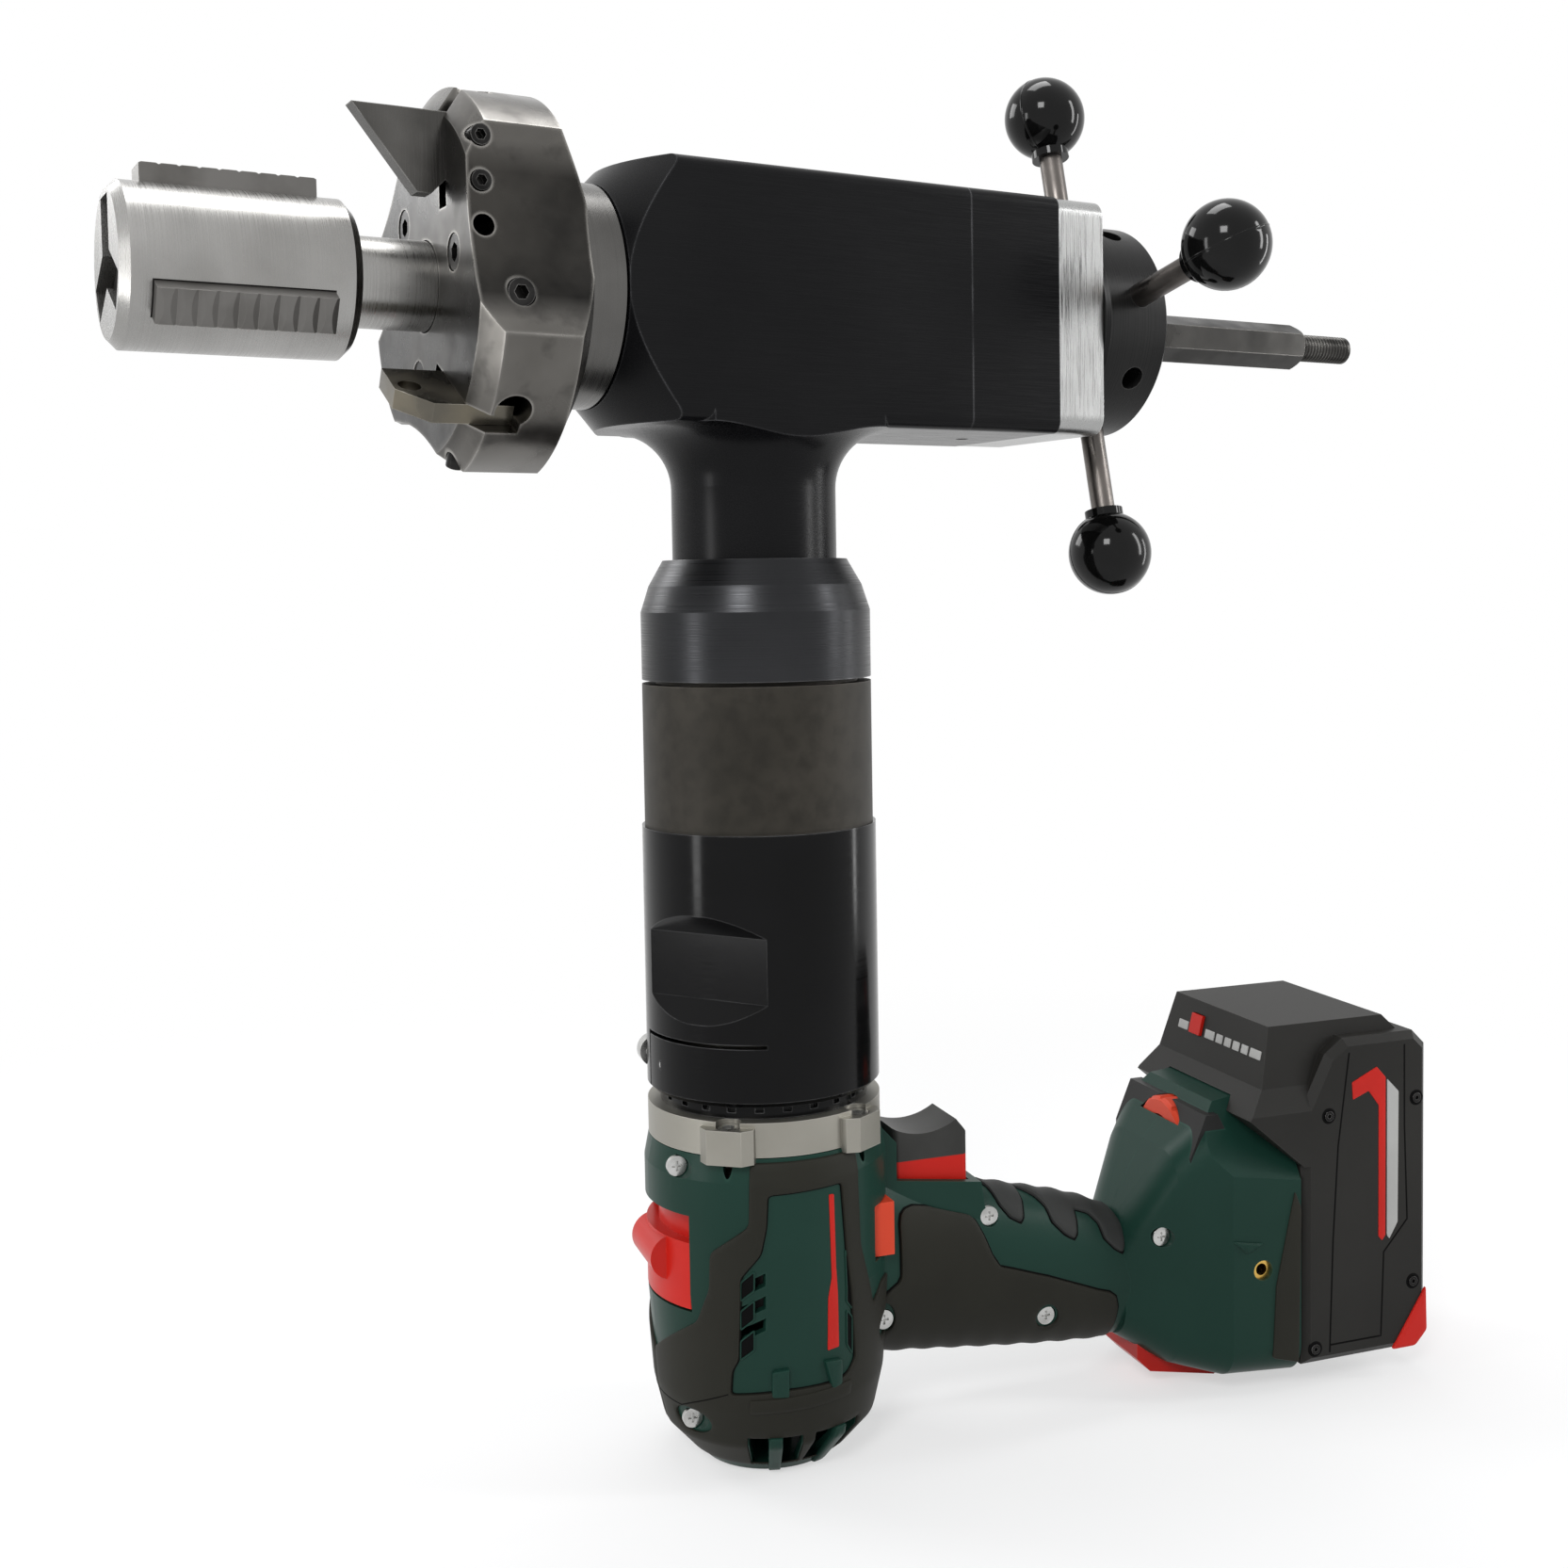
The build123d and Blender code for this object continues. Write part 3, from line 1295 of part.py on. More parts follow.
def foot_form(inset):
    height = foot_bottom - foot_top
    faces = []
    for setback, start, end, half in foot_shares:
        top = foot_top + height * start
        bottom = foot_top + height * end
        tall = bottom - top - 2 * inset
        wide = 2 * (foot_half_width * half - inset)
        corner = min(foot_corner_radius, wide * 0.4, tall * 0.4)
        place = foot_rear - foot_span * setback
        plane = Plane(origin=(place, 0, -(top + bottom) / 2), x_dir=(0, 1, 0), z_dir=(1, 0, 0))
        faces.append(plane * RectangleRounded(wide, tall, corner))
    return loft(faces, ruled=True)


def foot_corners(inset):
    """The two prisms that bevel the foot's upper side edges, with an inset further in."""
    start = foot_rear - foot_span * foot_shares[0][0]
    high = foot_top - overrun
    slope = (bevel_low - foot_top) / (foot_half_width - bevel_half_width)
    outline = Polyline((start, bevel_half_width - inset, -foot_top), (start, foot_half_width + overrun,
                       -bevel_low - overrun * slope), (start, foot_half_width + overrun, -high),
                       (start, bevel_half_width - inset, -high), close=True)
    side = extrude(make_face(outline), amount=battery_front - start, dir=(1, 0, 0))
    return side + mirror(side, Plane.XZ)


def casing_form(inset):
    foot = foot_form(inset) - foot_corners(inset)
    return joined([barrel_form(inset), trigger_form(inset), grip_form(inset), foot])


def casing_screw_places():
    """Each casing screw's distance, depth and how far out its head sits."""
    return [(handle_length * x, handle_depth * z, handle_half_width * y) for x, z, y in casing_screw_shares]


def both_sides(shape):
    return [shape, mirror(shape, Plane.XZ)]


def side_vents():
    """Slanted air slots in the barrel's sides, beside the motor."""
    tall = vent_height
    slots = []
    for index in range(vent_count):
        top = vent_top + vent_pitch * index
        outline = Polyline((-vent_x - vent_width, 0, -top - tall), (-vent_x, 0, -top),
                           (-vent_x, 0, -top - tall), (-vent_x - vent_width, 0, -top - 2 * tall), close=True)
        slots.append(extrude(make_face(outline), amount=barrel_radius + overrun, dir=(0, -1, 0)))
    return [piece for slot in slots for piece in both_sides(slot)]


def rear_vents():
    """Air slots around the rear end, beside the fan."""
    slots = []
    for index in range(rear_vent_count):
        turn = rear_vent_shift + (index - (rear_vent_count - 1) / 2) * rear_vent_angle
        slot = block(-rear_vent_width / 2, rear_vent_width / 2, -barrel_radius - overrun, -fan_radius * 0.7,
                     -barrel_end + shell_wall, -barrel_heel + shell_wall)
        slots.append(Rot(0, 0, turn) * slot)
    return [piece for slot in slots for piece in both_sides(slot)]


def wheel_room():
    start = wheel_x - wheel_thickness / 2 - moving_gap
    end = wheel_x + wheel_thickness / 2 + moving_gap
    return cyl_x(wheel_radius + moving_gap, start, end, 0, -wheel_depth)


def bracket_form():
    """The black nose piece that carries the thumbwheel, set into the foot."""
    front = wheel_x - wheel_thickness / 2 - bracket_wall
    rear = wheel_x + wheel_thickness / 2 + bracket_wall
    lip = wheel_depth - bracket_lip_height
    ear = lip - bracket_ear_height
    low = wheel_depth + bracket_drop
    points = [
        (front, lip), (front + 2 * bracket_wall, ear), (wheel_x + bracket_wall, ear),
        (rear, (ear + lip + bracket_wall) / 2),
        (wheel_x, wheel_depth + bracket_notch_drop), (wheel_x, low), (front + bracket_wall, low),
        (front, low - bracket_wall),
    ]
    return slab_y(points, bracket_half_width)


def wheel_bracket():
    front = wheel_x - wheel_thickness / 2 - bracket_wall
    rear = wheel_x + wheel_thickness / 2 + bracket_wall
    return bracket_form() - wheel_room() + cyl_x(wheel_hole, front, rear, 0, -wheel_depth)


def torque_wheel():
    start = wheel_x - wheel_thickness / 2
    rim = wheel_radius + wheel_chamfer / 3
    wheel = cyl_x(wheel_radius, start, start + wheel_thickness, 0, -wheel_depth)
    wheel = chamfer(wheel.edges().filter_by(GeomType.CIRCLE), wheel_chamfer)
    notches = []
    for index in range(wheel_notches):
        angle = 2 * pi * index / wheel_notches
        notches.append(cyl_x(wheel_chamfer, start - overrun, start + wheel_thickness + overrun,
                             rim * sin(angle), rim * cos(angle) - wheel_depth))
    bore = cyl_x(wheel_hole + running_gap, start - overrun, start + wheel_thickness + overrun, 0, -wheel_depth)
    dish = cyl_x(wheel_radius * 0.62, start - overrun, start + wheel_chamfer, 0, -wheel_depth)
    return wheel.cut(bore, dish, *notches)


def rail_form(gap):
    """The battery's sliding rail, or with a gap the pocket in the foot that takes it."""
    start = foot_rear - battery_rail_reach
    end = battery_front + battery_wall
    top = foot_top + battery_wall
    bottom = battery_bottom - battery_rail_half_width
    neck = battery_rail_half_width - battery_rail_lip
    high = -top + (overrun + foot_bottom - foot_top if gap else 0)
    stem = block(start - gap, end, -neck - gap, neck + gap, -bottom - gap, high)
    lip = block(start - gap, start + battery_rail_lip + gap, -battery_rail_half_width - gap,
                battery_rail_half_width + gap, -bottom - gap, high)
    return stem + lip


def selector_slice(outer, inner, half, top, bottom):
    """A slice of a ring at the rear side of the barrel, between two depths and two planes."""
    return ring_z(outer, inner, top, bottom) & block(-outer - overrun, 0, -half, half, -bottom, -top)


def casing_cuts():
    trigger_end = trigger_start + trigger_length + moving_gap
    room = trigger_half_width + moving_gap
    bar = button_half_width + moving_gap
    tall = button_half_height + moving_gap
    cuts = [
        gear_case(), cyl_z(case_barrel_radius, -shell_top - 2 * overrun, -shell_top + overrun),
        block(trigger_start - moving_gap, trigger_end, -room, room, -trigger_top - trigger_depth - trigger_travel,
              overrun - trigger_top),
        block(button_x - bar, button_x + bar, -barrel_radius, barrel_radius, -button_depth - tall,
              tall - button_depth),
        selector_slice(barrel_radius + overrun, selector_inner, window_half_width, window_top, window_bottom),
        bracket_form(), wheel_room(), rail_form(battery_gap),
        cyl_y(insert_radius, -foot_half_width - overrun, insert_length - insert_seat(), insert_x, -insert_depth),
    ]
    screw = cyl_z(case_screw_radius, -shell_top - 3 * case_wall, 0, case_screw_distance())
    cuts += [Rot(0, 0, angle) * screw for angle in boss_angles()]
    return cuts + side_vents() + rear_vents()


def motor_seats(outer):
    """Two ribs that hold the stator, and the seat of the rotor shaft's end."""
    ribs = [ring_z(barrel_radius, stator_radius + running_gap, top, top + case_wall)
            for top in (rotor_top + case_wall, rotor_bottom - 2 * case_wall)]
    selector_room = selector_slice(barrel_radius + overrun, selector_inner - moving_gap,
                                   window_half_width + selector_lap + moving_gap, shell_top, barrel_end)
    seat = ring_z(fan_hub_radius, rotor_shaft_radius + running_gap, fan_top + fan_height + case_wall, barrel_end)
    return [(rib - selector_room) & outer for rib in ribs] + [seat & outer]


def casing_halves():
    rear_limit = foot_rear - battery_rail_reach - 2 * shell_wall
    reach = barrel_radius + foot_half_width
    inside = casing_form(shell_wall) & block(-reach, rear_limit, -reach, reach, -barrel_end, 0)
    inside = max(inside.solids(), key=lambda solid: solid.volume)
    outer = casing_form(0)
    whole = outer - inside
    bosses = []
    holes = []
    for x, depth, seat in casing_screw_places():
        bosses.append(cyl_y(casing_boss_radius, -reach, reach, x, -depth) & outer)
        holes.append(cyl_y(casing_screw_radius + running_gap, -reach, seat, x, -depth))
        holes.append(cyl_y(casing_screw_head_radius + moving_gap, -reach, -seat, x, -depth))
    insert_boss = cyl_y(insert_radius + shell_wall, -reach, insert_length + shell_wall - insert_seat(),
                        insert_x, -insert_depth) & outer
    whole = joined([whole, insert_boss] + bosses + motor_seats(outer))
    whole = whole.cut(*holes, *casing_cuts())
    near = whole & block(-reach, 2 * foot_rear, -reach, -seam_gap / 2, -2 * barrel_end, 0)
    far = whole & block(-reach, 2 * foot_rear, seam_gap / 2, reach, -2 * barrel_end, 0)
    return near, far


def shell_screws():
    screws = []
    for x, depth, seat in casing_screw_places():
        top = seat + casing_screw_radius
        screw = cyl_y(casing_screw_radius, -seat, seat / 2, x, -depth)
        head = cyl_y(casing_screw_head_radius, -top, -seat, x, -depth)
        cross = block(x - casing_screw_radius, x + casing_screw_radius, -top, casing_screw_radius / 2 - top,
                      -depth - screw_slot / 2, screw_slot / 2 - depth)
        upright = block(x - screw_slot / 2, x + screw_slot / 2, -top, casing_screw_radius / 2 - top,
                        -depth - casing_screw_radius, casing_screw_radius - depth)
        screws.append((screw + head).cut(cross, upright))
    return screws


def motor_overmould():
    """Rubber skin on the rear of the barrel, one piece on each half of the casing."""
    skin = barrel_form(-overmould_thickness) - barrel_form(0)
    reach = barrel_radius + overrun
    skin &= block(-reach, barrel_radius * overmould_reach_share, -reach, reach, -barrel_end + shell_wall,
                  -overmould_top)
    skin = skin.cut(*side_vents(), *rear_vents(), casing_form(0))
    for x, depth, seat in casing_screw_places():
        skin -= cyl_y(casing_screw_head_radius + moving_gap, -reach, 0, x, -depth)
    near = skin & block(-reach, reach, -reach, -seam_gap / 2, -barrel_end, 0)
    far = skin & block(-reach, reach, seam_gap / 2, reach, -barrel_end, 0)
    return [near, far]


def panel(shares):
    """A panel's outline on the handle's side, as a plate wide enough to cut the grip's skin."""
    points = [(handle_length * x, handle_depth * z) for x, z in shares]
    return slab_y(points, foot_half_width)


def grip_overmould():
    skin = grip_form(-overmould_thickness) - casing_form(0)
    panels = panel(palm_panel_shares) + panel(finger_panel_shares)
    skin = skin & panels
    for x, depth, seat in casing_screw_places():
        skin -= cyl_y(casing_screw_head_radius + moving_gap, -foot_half_width, -seat, x, -depth)
    near = skin & block(0, foot_rear, -foot_half_width, -seam_gap / 2, -foot_bottom, 0)
    far = skin & block(0, foot_rear, seam_gap / 2, foot_half_width, -foot_bottom, 0)
    return [near, far]


# Controls

def trigger():
    end = trigger_start + trigger_length
    bottom = trigger_top + trigger_depth
    dip = trigger_edge
    outline = [
        Polyline((trigger_start, 0, -bottom), (trigger_start, 0, -trigger_top)),
        ThreePointArc((trigger_start, 0, -trigger_top),
                      (trigger_start + trigger_length * 0.45, 0, -trigger_top - dip * 0.6),
                      (end - dip, 0, -trigger_top + dip * 0.25)),
        Polyline((end - dip, 0, -trigger_top + dip * 0.25), (end, 0, -trigger_top - dip), (end, 0, -bottom),
                 (trigger_start, 0, -bottom)),
    ]
    face = make_face(Wire(joined_edges(outline)))
    body = extrude(face, amount=trigger_half_width, dir=(0, 1, 0)) + extrude(face, amount=trigger_half_width,
                                                                             dir=(0, -1, 0))
    return fillet(body.edges().filter_by(Axis.Z), trigger_edge / 2)


def switch_module():
    top = trigger_top + trigger_depth + trigger_travel + moving_gap
    start = trigger_start
    end = trigger_start + trigger_length
    body = block(start, end, -trigger_half_width, trigger_half_width, -top - trigger_depth, -top)
    middle = (trigger_start + end) / 2
    plunger = cyl_z(selector_plate, -top, -trigger_top - trigger_depth - trigger_travel, middle)
    return body + plunger


def direction_button():
    bar = block(button_x - button_half_width, button_x + button_half_width, -button_reach, button_reach,
                -button_depth - button_half_height, button_half_height - button_depth)
    waist = block(button_x - button_half_width - overrun, button_x, -barrel_radius / 4, barrel_radius / 4,
                  -button_depth - button_half_height - overrun, overrun + button_half_height - button_depth)
    return bar - waist


def gear_selector():
    """A curved slider: a plate behind the window, a block that fills it and a rounded nub across the block."""
    outer = selector_inner + selector_plate
    half = window_half_width - moving_gap - running_gap
    top = window_top + moving_gap
    bottom = window_bottom + selector_travel
    plate = selector_slice(outer, selector_inner, half + selector_lap, top, bottom)
    block_top = window_top + selector_travel + 2 * moving_gap
    raised = selector_slice(barrel_radius - moving_gap, selector_inner, half, block_top,
                            block_top + selector_block_length)
    nub = cyl_y(selector_nub_radius, -selector_nub_half, selector_nub_half,
                selector_nub_radius - barrel_radius - selector_nub_reach, -block_top - selector_nub_radius)
    return plate + raised + (nub - cyl_z(outer, -bottom, -top))


def hook_insert():
    tube = cyl_y(insert_radius, -insert_seat(), insert_length - insert_seat(), insert_x, -insert_depth)
    return tube - cyl_y(insert_hole, -insert_seat() - overrun, insert_length, insert_x, -insert_depth)


def insert_seat():
    """How far out the brass insert's face sits, just under the foot's side."""
    return foot_half_width * 0.93


def foot_clip():
    low = foot_bottom + clip_thickness
    points = [
        (clip_start, foot_bottom - 3 * clip_thickness), (clip_start, foot_bottom - clip_thickness),
        (clip_start + clip_thickness, foot_bottom), (clip_end, low),
        (clip_end + clip_thickness / 2, low - clip_thickness / 4),
        (clip_end + clip_thickness / 2, foot_bottom - 3 * clip_thickness),
    ]
    body = slab_y(points, clip_half_width) - foot_form(0) - grip_form(-overmould_thickness)
    return max(body.solids(), key=lambda solid: solid.volume)


# Battery

def battery_block():
    """The main case, with a slope at its upper front corner and broken side edges."""
    points = [
        (battery_front, battery_shoulder_low), (battery_shoulder, battery_top + battery_edge),
        (battery_seam, battery_top), (battery_back - battery_edge, battery_top),
        (battery_back, battery_top + battery_edge), (battery_back, battery_bottom - battery_edge),
        (battery_back - battery_edge, battery_bottom), (battery_front, battery_bottom),
    ]
    body = slab_y(points, battery_half_width)
    body = chamfer(body.faces().sort_by(Axis.Y)[0].edges(), battery_edge / 2)
    return chamfer(body.faces().sort_by(Axis.Y)[-1].edges(), battery_edge / 2)


def battery_nose():
    """The raised nose with its sloping front, narrower at the top than at the bottom."""
    back_low = nose_back + nose_low - nose_top
    faces = []
    for depth, front, back, half in ((nose_low, nose_front_low, back_low, nose_half_width),
                                     (nose_top, nose_front, nose_back, nose_top_half_width)):
        plane = Plane(origin=((front + back) / 2, 0, -depth))
        faces.append(plane * Rectangle(back - front, 2 * half))
    nose = loft(faces, ruled=True)
    limit = block(nose_front_low, battery_seam + battery_edge, -battery_half_width, battery_half_width,
                  -nose_low, -nose_top)
    above = block(nose_front_low, battery_back, -battery_half_width, battery_half_width, -battery_top, -nose_top)
    return nose & (limit + above)


def battery_skirt():
    """The collar below the nose, which hugs the foot's upper edge and its two bevels."""
    side = slab_y([(nose_front_low, nose_low), (skirt_front, skirt_front_low), (battery_front, skirt_low),
                   (battery_shoulder, skirt_low), (battery_shoulder, nose_low)], battery_half_width)
    outline = Polyline((skirt_front, -nose_half_width, -nose_low), (skirt_front, nose_half_width, -nose_low),
                       (skirt_front, battery_half_width, -battery_shoulder_low),
                       (skirt_front, battery_half_width, -skirt_low), (skirt_front, -battery_half_width, -skirt_low),
                       (skirt_front, -battery_half_width, -battery_shoulder_low), close=True)
    front = extrude(make_face(outline), amount=battery_shoulder - skirt_front, dir=(1, 0, 0))
    foot = foot_form(-battery_gap) - foot_corners(-battery_gap)
    collar = (side & front) - foot
    return max(collar.solids(), key=lambda solid: solid.volume)


def battery_outer():
    return joined([battery_block(), battery_skirt(), battery_nose(), rail_form(0)])


def battery_case():
    rows = 2 * cell_radius + 2 * moving_gap
    middle = (battery_front + battery_edge + battery_back) / 2
    depth = (battery_top + battery_bottom) / 2
    tall = cells_in_row * (cell_radius + running_gap) + moving_gap
    half = cell_length / 2 + moving_gap
    hollow = block(middle - rows, middle + rows, -half, half, -depth - tall, tall - depth)
    return battery_outer().cut(hollow, led_button_room(moving_gap))


def nose_face(shape):
    """Place a shape on the nose's sloping front, its own +Z pointing out of the face."""
    lean = degrees(atan2(nose_front - nose_front_low, nose_low - nose_top))
    middle_x = (nose_front + nose_front_low) / 2
    middle_depth = (nose_top + nose_low) / 2
    return Pos(middle_x, 0, -middle_depth) * Rot(0, lean - 90, 0) * shape


def led_button_room(gap):
    long, high = led_button
    size = Box(high + 2 * gap, long + 2 * gap, 2 * led_button_thickness + gap)
    return nose_face(Pos(led_strip_height, led_button_side, -led_button_thickness / 2) * size)


def charge_button():
    long, high = led_button
    size = Box(high, long, led_button_thickness + led_button_proud)
    return nose_face(Pos(led_strip_height, led_button_side, led_button_proud / 2 - led_button_thickness / 2) * size)


def battery_cells():
    cells = []
    middle = (battery_front + battery_edge + battery_back) / 2
    for row in (-1, 1):
        for index in range(cells_in_row):
            step = (index - (cells_in_row - 1) / 2) * 2 * (cell_radius + running_gap)
            depth = (battery_top + battery_bottom) / 2 + step
            cells.append(cyl_y(cell_radius, -cell_length / 2, cell_length / 2,
                               middle + row * (cell_radius + moving_gap), -depth))
    return cells


def battery_bumpers():
    """Red corner guards on the battery's back edge."""
    half = battery_half_width - 2 * battery_edge
    end = battery_back + bumper_thickness
    high = battery_top + battery_edge
    low = battery_bottom - battery_edge
    strip = block(battery_back, end, -half, half, -high - bumper_length, -high)
    corner = block(battery_back, end, -half, half, -low, bumper_length / 2 - low)
    return [chamfer(piece.faces().sort_by(Axis.X)[-1].edges(), bumper_thickness / 2) for piece in (strip, corner)]


# Every node of the part

keep("mandrel_body", mandrel_body())
keep("draw_rod", draw_rod())
keep("draw_nut", draw_nut())
for number in range(lobe_count):
    keep(f"mandrel_block_{number + 1}", mandrel_block(number))
keep("main_housing", main_housing())
keep("rear_housing", rear_housing())
keep("rear_plate", rear_plate())
keep("housing_screws", housing_screws())
keep("torsion_keys", torsion_keys())
keep("spindle_bearings", spindle_bearings())
keep("column_bearings", column_bearings())
keep("spindle", spindle())
keep("bevel_gear", bevel_gear())
keep("spindle_lock_ring", spindle_lock_ring())
keep("bevel_pinion", bevel_pinion())
keep("cutter_head", cutter_head())
keep("head_screws", head_screws())
keep("bevel_tool_bit", bevel_tool_bit())
keep("facing_tool_bit", facing_tool_bit())
keep("tool_set_screws", tool_set_screws())
keep("feed_hub", feed_hub())
keep("hub_retainer", hub_retainer())
keep("feed_levers", feed_levers())
keep("ball_knobs", ball_knobs())
keep("collar_nut", collar_nut())
keep("gear_sleeve", gear_sleeve())
keep("planet_carrier", planet_carrier())
for number in range(planet_count):
    keep(f"reducer_planet_{number + 1}", reducer_planet(number))
keep("sun_shaft", sun_shaft())
keep("adaptor_sleeve", adaptor_sleeve())
keep("clamp_screw", clamp_screw())
keep("torque_ring", torque_ring())
keep("gear_case", at_drill(gear_case()))
keep("gear_case_screws", [at_drill(screw) for screw in gear_case_screws()])
keep("gear_cartridge", gear_cartridge())
keep("drill_spindle", drill_spindle())
keep("motor_rotor", motor_rotor())
keep("motor_fan", motor_fan())
keep("motor_stator", motor_stator())
near_shell, far_shell = casing_halves()
keep("shell_right", at_drill(near_shell))
keep("shell_left", at_drill(far_shell))
keep("shell_screws", [at_drill(screw) for screw in shell_screws()])
keep("motor_overmould", [at_drill(piece) for piece in motor_overmould()])
keep("grip_overmould", [at_drill(piece) for piece in grip_overmould()])
keep("switch_module", at_drill(switch_module()))
keep("wheel_bracket", at_drill(wheel_bracket()))
keep("hook_insert", at_drill(hook_insert()))
keep("foot_clip", at_drill(foot_clip()))
keep("trigger", at_drill(trigger()))
keep("direction_button", at_drill(direction_button()))
keep("gear_selector", at_drill(gear_selector()))
keep("torque_wheel", at_drill(torque_wheel()))
keep("battery_case", at_drill(battery_case()))
keep("battery_cells", [at_drill(cell) for cell in battery_cells()])
keep("charge_button", at_drill(charge_button()))
keep("battery_bumpers", [at_drill(piece) for piece in battery_bumpers()])
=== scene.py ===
import json
from math import cos, pi, radians, sin

import bpy
import numpy as np
from mathutils import Matrix, Vector
from mathutils.geometry import delaunay_2d_cdt


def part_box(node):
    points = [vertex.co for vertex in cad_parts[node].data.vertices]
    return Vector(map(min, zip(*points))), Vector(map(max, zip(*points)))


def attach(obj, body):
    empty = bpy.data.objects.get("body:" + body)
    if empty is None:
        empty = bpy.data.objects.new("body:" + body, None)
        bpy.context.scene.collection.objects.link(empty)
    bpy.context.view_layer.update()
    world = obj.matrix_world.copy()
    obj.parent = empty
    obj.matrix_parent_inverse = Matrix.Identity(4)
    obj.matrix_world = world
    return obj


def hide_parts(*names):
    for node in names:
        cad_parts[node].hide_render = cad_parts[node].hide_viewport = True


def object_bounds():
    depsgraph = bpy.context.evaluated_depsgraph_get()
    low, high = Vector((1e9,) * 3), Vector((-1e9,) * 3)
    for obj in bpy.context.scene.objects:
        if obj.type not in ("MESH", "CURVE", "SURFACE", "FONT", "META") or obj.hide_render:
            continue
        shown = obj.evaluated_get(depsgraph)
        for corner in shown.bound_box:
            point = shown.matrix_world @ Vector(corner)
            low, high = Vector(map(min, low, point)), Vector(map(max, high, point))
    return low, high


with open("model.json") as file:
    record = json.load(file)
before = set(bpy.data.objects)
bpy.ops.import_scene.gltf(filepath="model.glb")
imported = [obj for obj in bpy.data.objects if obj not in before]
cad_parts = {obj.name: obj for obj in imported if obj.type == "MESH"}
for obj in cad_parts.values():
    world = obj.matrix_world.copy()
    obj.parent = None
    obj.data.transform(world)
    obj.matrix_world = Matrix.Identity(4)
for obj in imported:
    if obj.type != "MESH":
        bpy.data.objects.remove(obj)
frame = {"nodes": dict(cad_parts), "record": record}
cad_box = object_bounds()

# Places and sizes of the frame, in metres

MM = 0.001
UM = 1e-6
COLUMN_X = 158 * MM             # from the mandrel's grip to the axis of the motor column
HANDLE_SWING = radians(-10)     # turn of the motor unit round the column's axis
MAIN_AXIS = (0, 0, 0)           # a point of the mandrel's axis, which runs along X
COLUMN_AXIS = (COLUMN_X, 0, 0)  # a point of the column's axis, which runs along Z
FLOOR_Z = cad_box[0].z - 0.5 * MM

# Camera, fitted to the photograph of RENDER_SIDE pixels

RENDER_SIDE = 1665
FOCAL_PIXELS = 1974.4
CENTRE_PIXEL = (910.9, 736.0)
CAMERA_PLACE = Vector((-112.7, -522.4, -86.2)) * MM
CAMERA_YAW = radians(30.5)
CAMERA_PITCH = radians(3.35)
CAMERA_ROLL = radians(0.83)
CLIP_START = 10 * MM

# Lamps, background and floor

PART_AIM = (0.16, 0, -0.15)
COLUMN_AIM = (COLUMN_X, 0, -0.2)
LAMPS = (
    # name, place, aim, width and height, watts
    ("key_softbox", (-0.9, -1.1, 0.9), PART_AIM, (0.5, 0.5), 15),
    ("side_softbox", (1.35, -0.8, 0.35), PART_AIM, (0.2, 1.1), 9),
    ("top_softbox", (0.2, 0.25, 1.3), PART_AIM, (0.8, 0.5), 10),
    ("back_softbox", (-0.6, 1.2, 0.6), PART_AIM, (0.6, 0.6), 8),
    ("left_strip", (-0.84, 0.0, -0.2), COLUMN_AIM, (0.14, 0.9), 3.5),
    ("right_strip", (1.13, -0.23, -0.2), COLUMN_AIM, (0.07, 0.9), 2),
)
WHITE = (1, 1, 1, 1)
ROOM_COLOUR = (0.95, 0.97, 1.0, 1)
ROOM_STRENGTH = 0.42
FLOOR_COLOUR = (0.86, 0.86, 0.86, 1)
FLOOR_ROUGHNESS = 0.9
FLOOR_HALF = 6.0                # half the side of the floor
SHADOW_REACH = 700 * MM         # distance from the column at which the shadow has faded out
SHADOW_FULL = SHADOW_REACH / 4  # and at which it begins to fade
SHADOW_FADE = 0.55              # share of plain white where the shadow is full


def fill(node, inputs):
    """Link each input of a node to a socket, or set its plain value."""
    for key, value in dict(inputs).items():
        if isinstance(value, bpy.types.NodeSocket):
            node.id_data.links.new(value, node.inputs[key])
        else:
            node.inputs[key].default_value = value
    return node


def add_node(tree, kind, inputs=(), **settings):
    """A new node with its settings and its inputs."""
    node = tree.nodes.new(kind)
    for key, value in settings.items():
        setattr(node, key, value)
    return fill(node, inputs)


def choose(tree, share, first, second):
    """Mix two shaders by a share, from the first to the second."""
    return add_node(tree, "ShaderNodeMixShader", {0: share, 1: first, 2: second}).outputs[0]


def seen_directly(tree):
    """One for camera, glossy and transmission rays, and zero for the rays that light the object."""
    path = add_node(tree, "ShaderNodeLightPath")
    total = path.outputs["Is Camera Ray"]
    for kind in ("Is Glossy Ray", "Is Transmission Ray"):
        either = add_node(tree, "ShaderNodeMath", {0: total, 1: path.outputs[kind]},
                          operation="MAXIMUM")
        total = either.outputs[0]
    return total


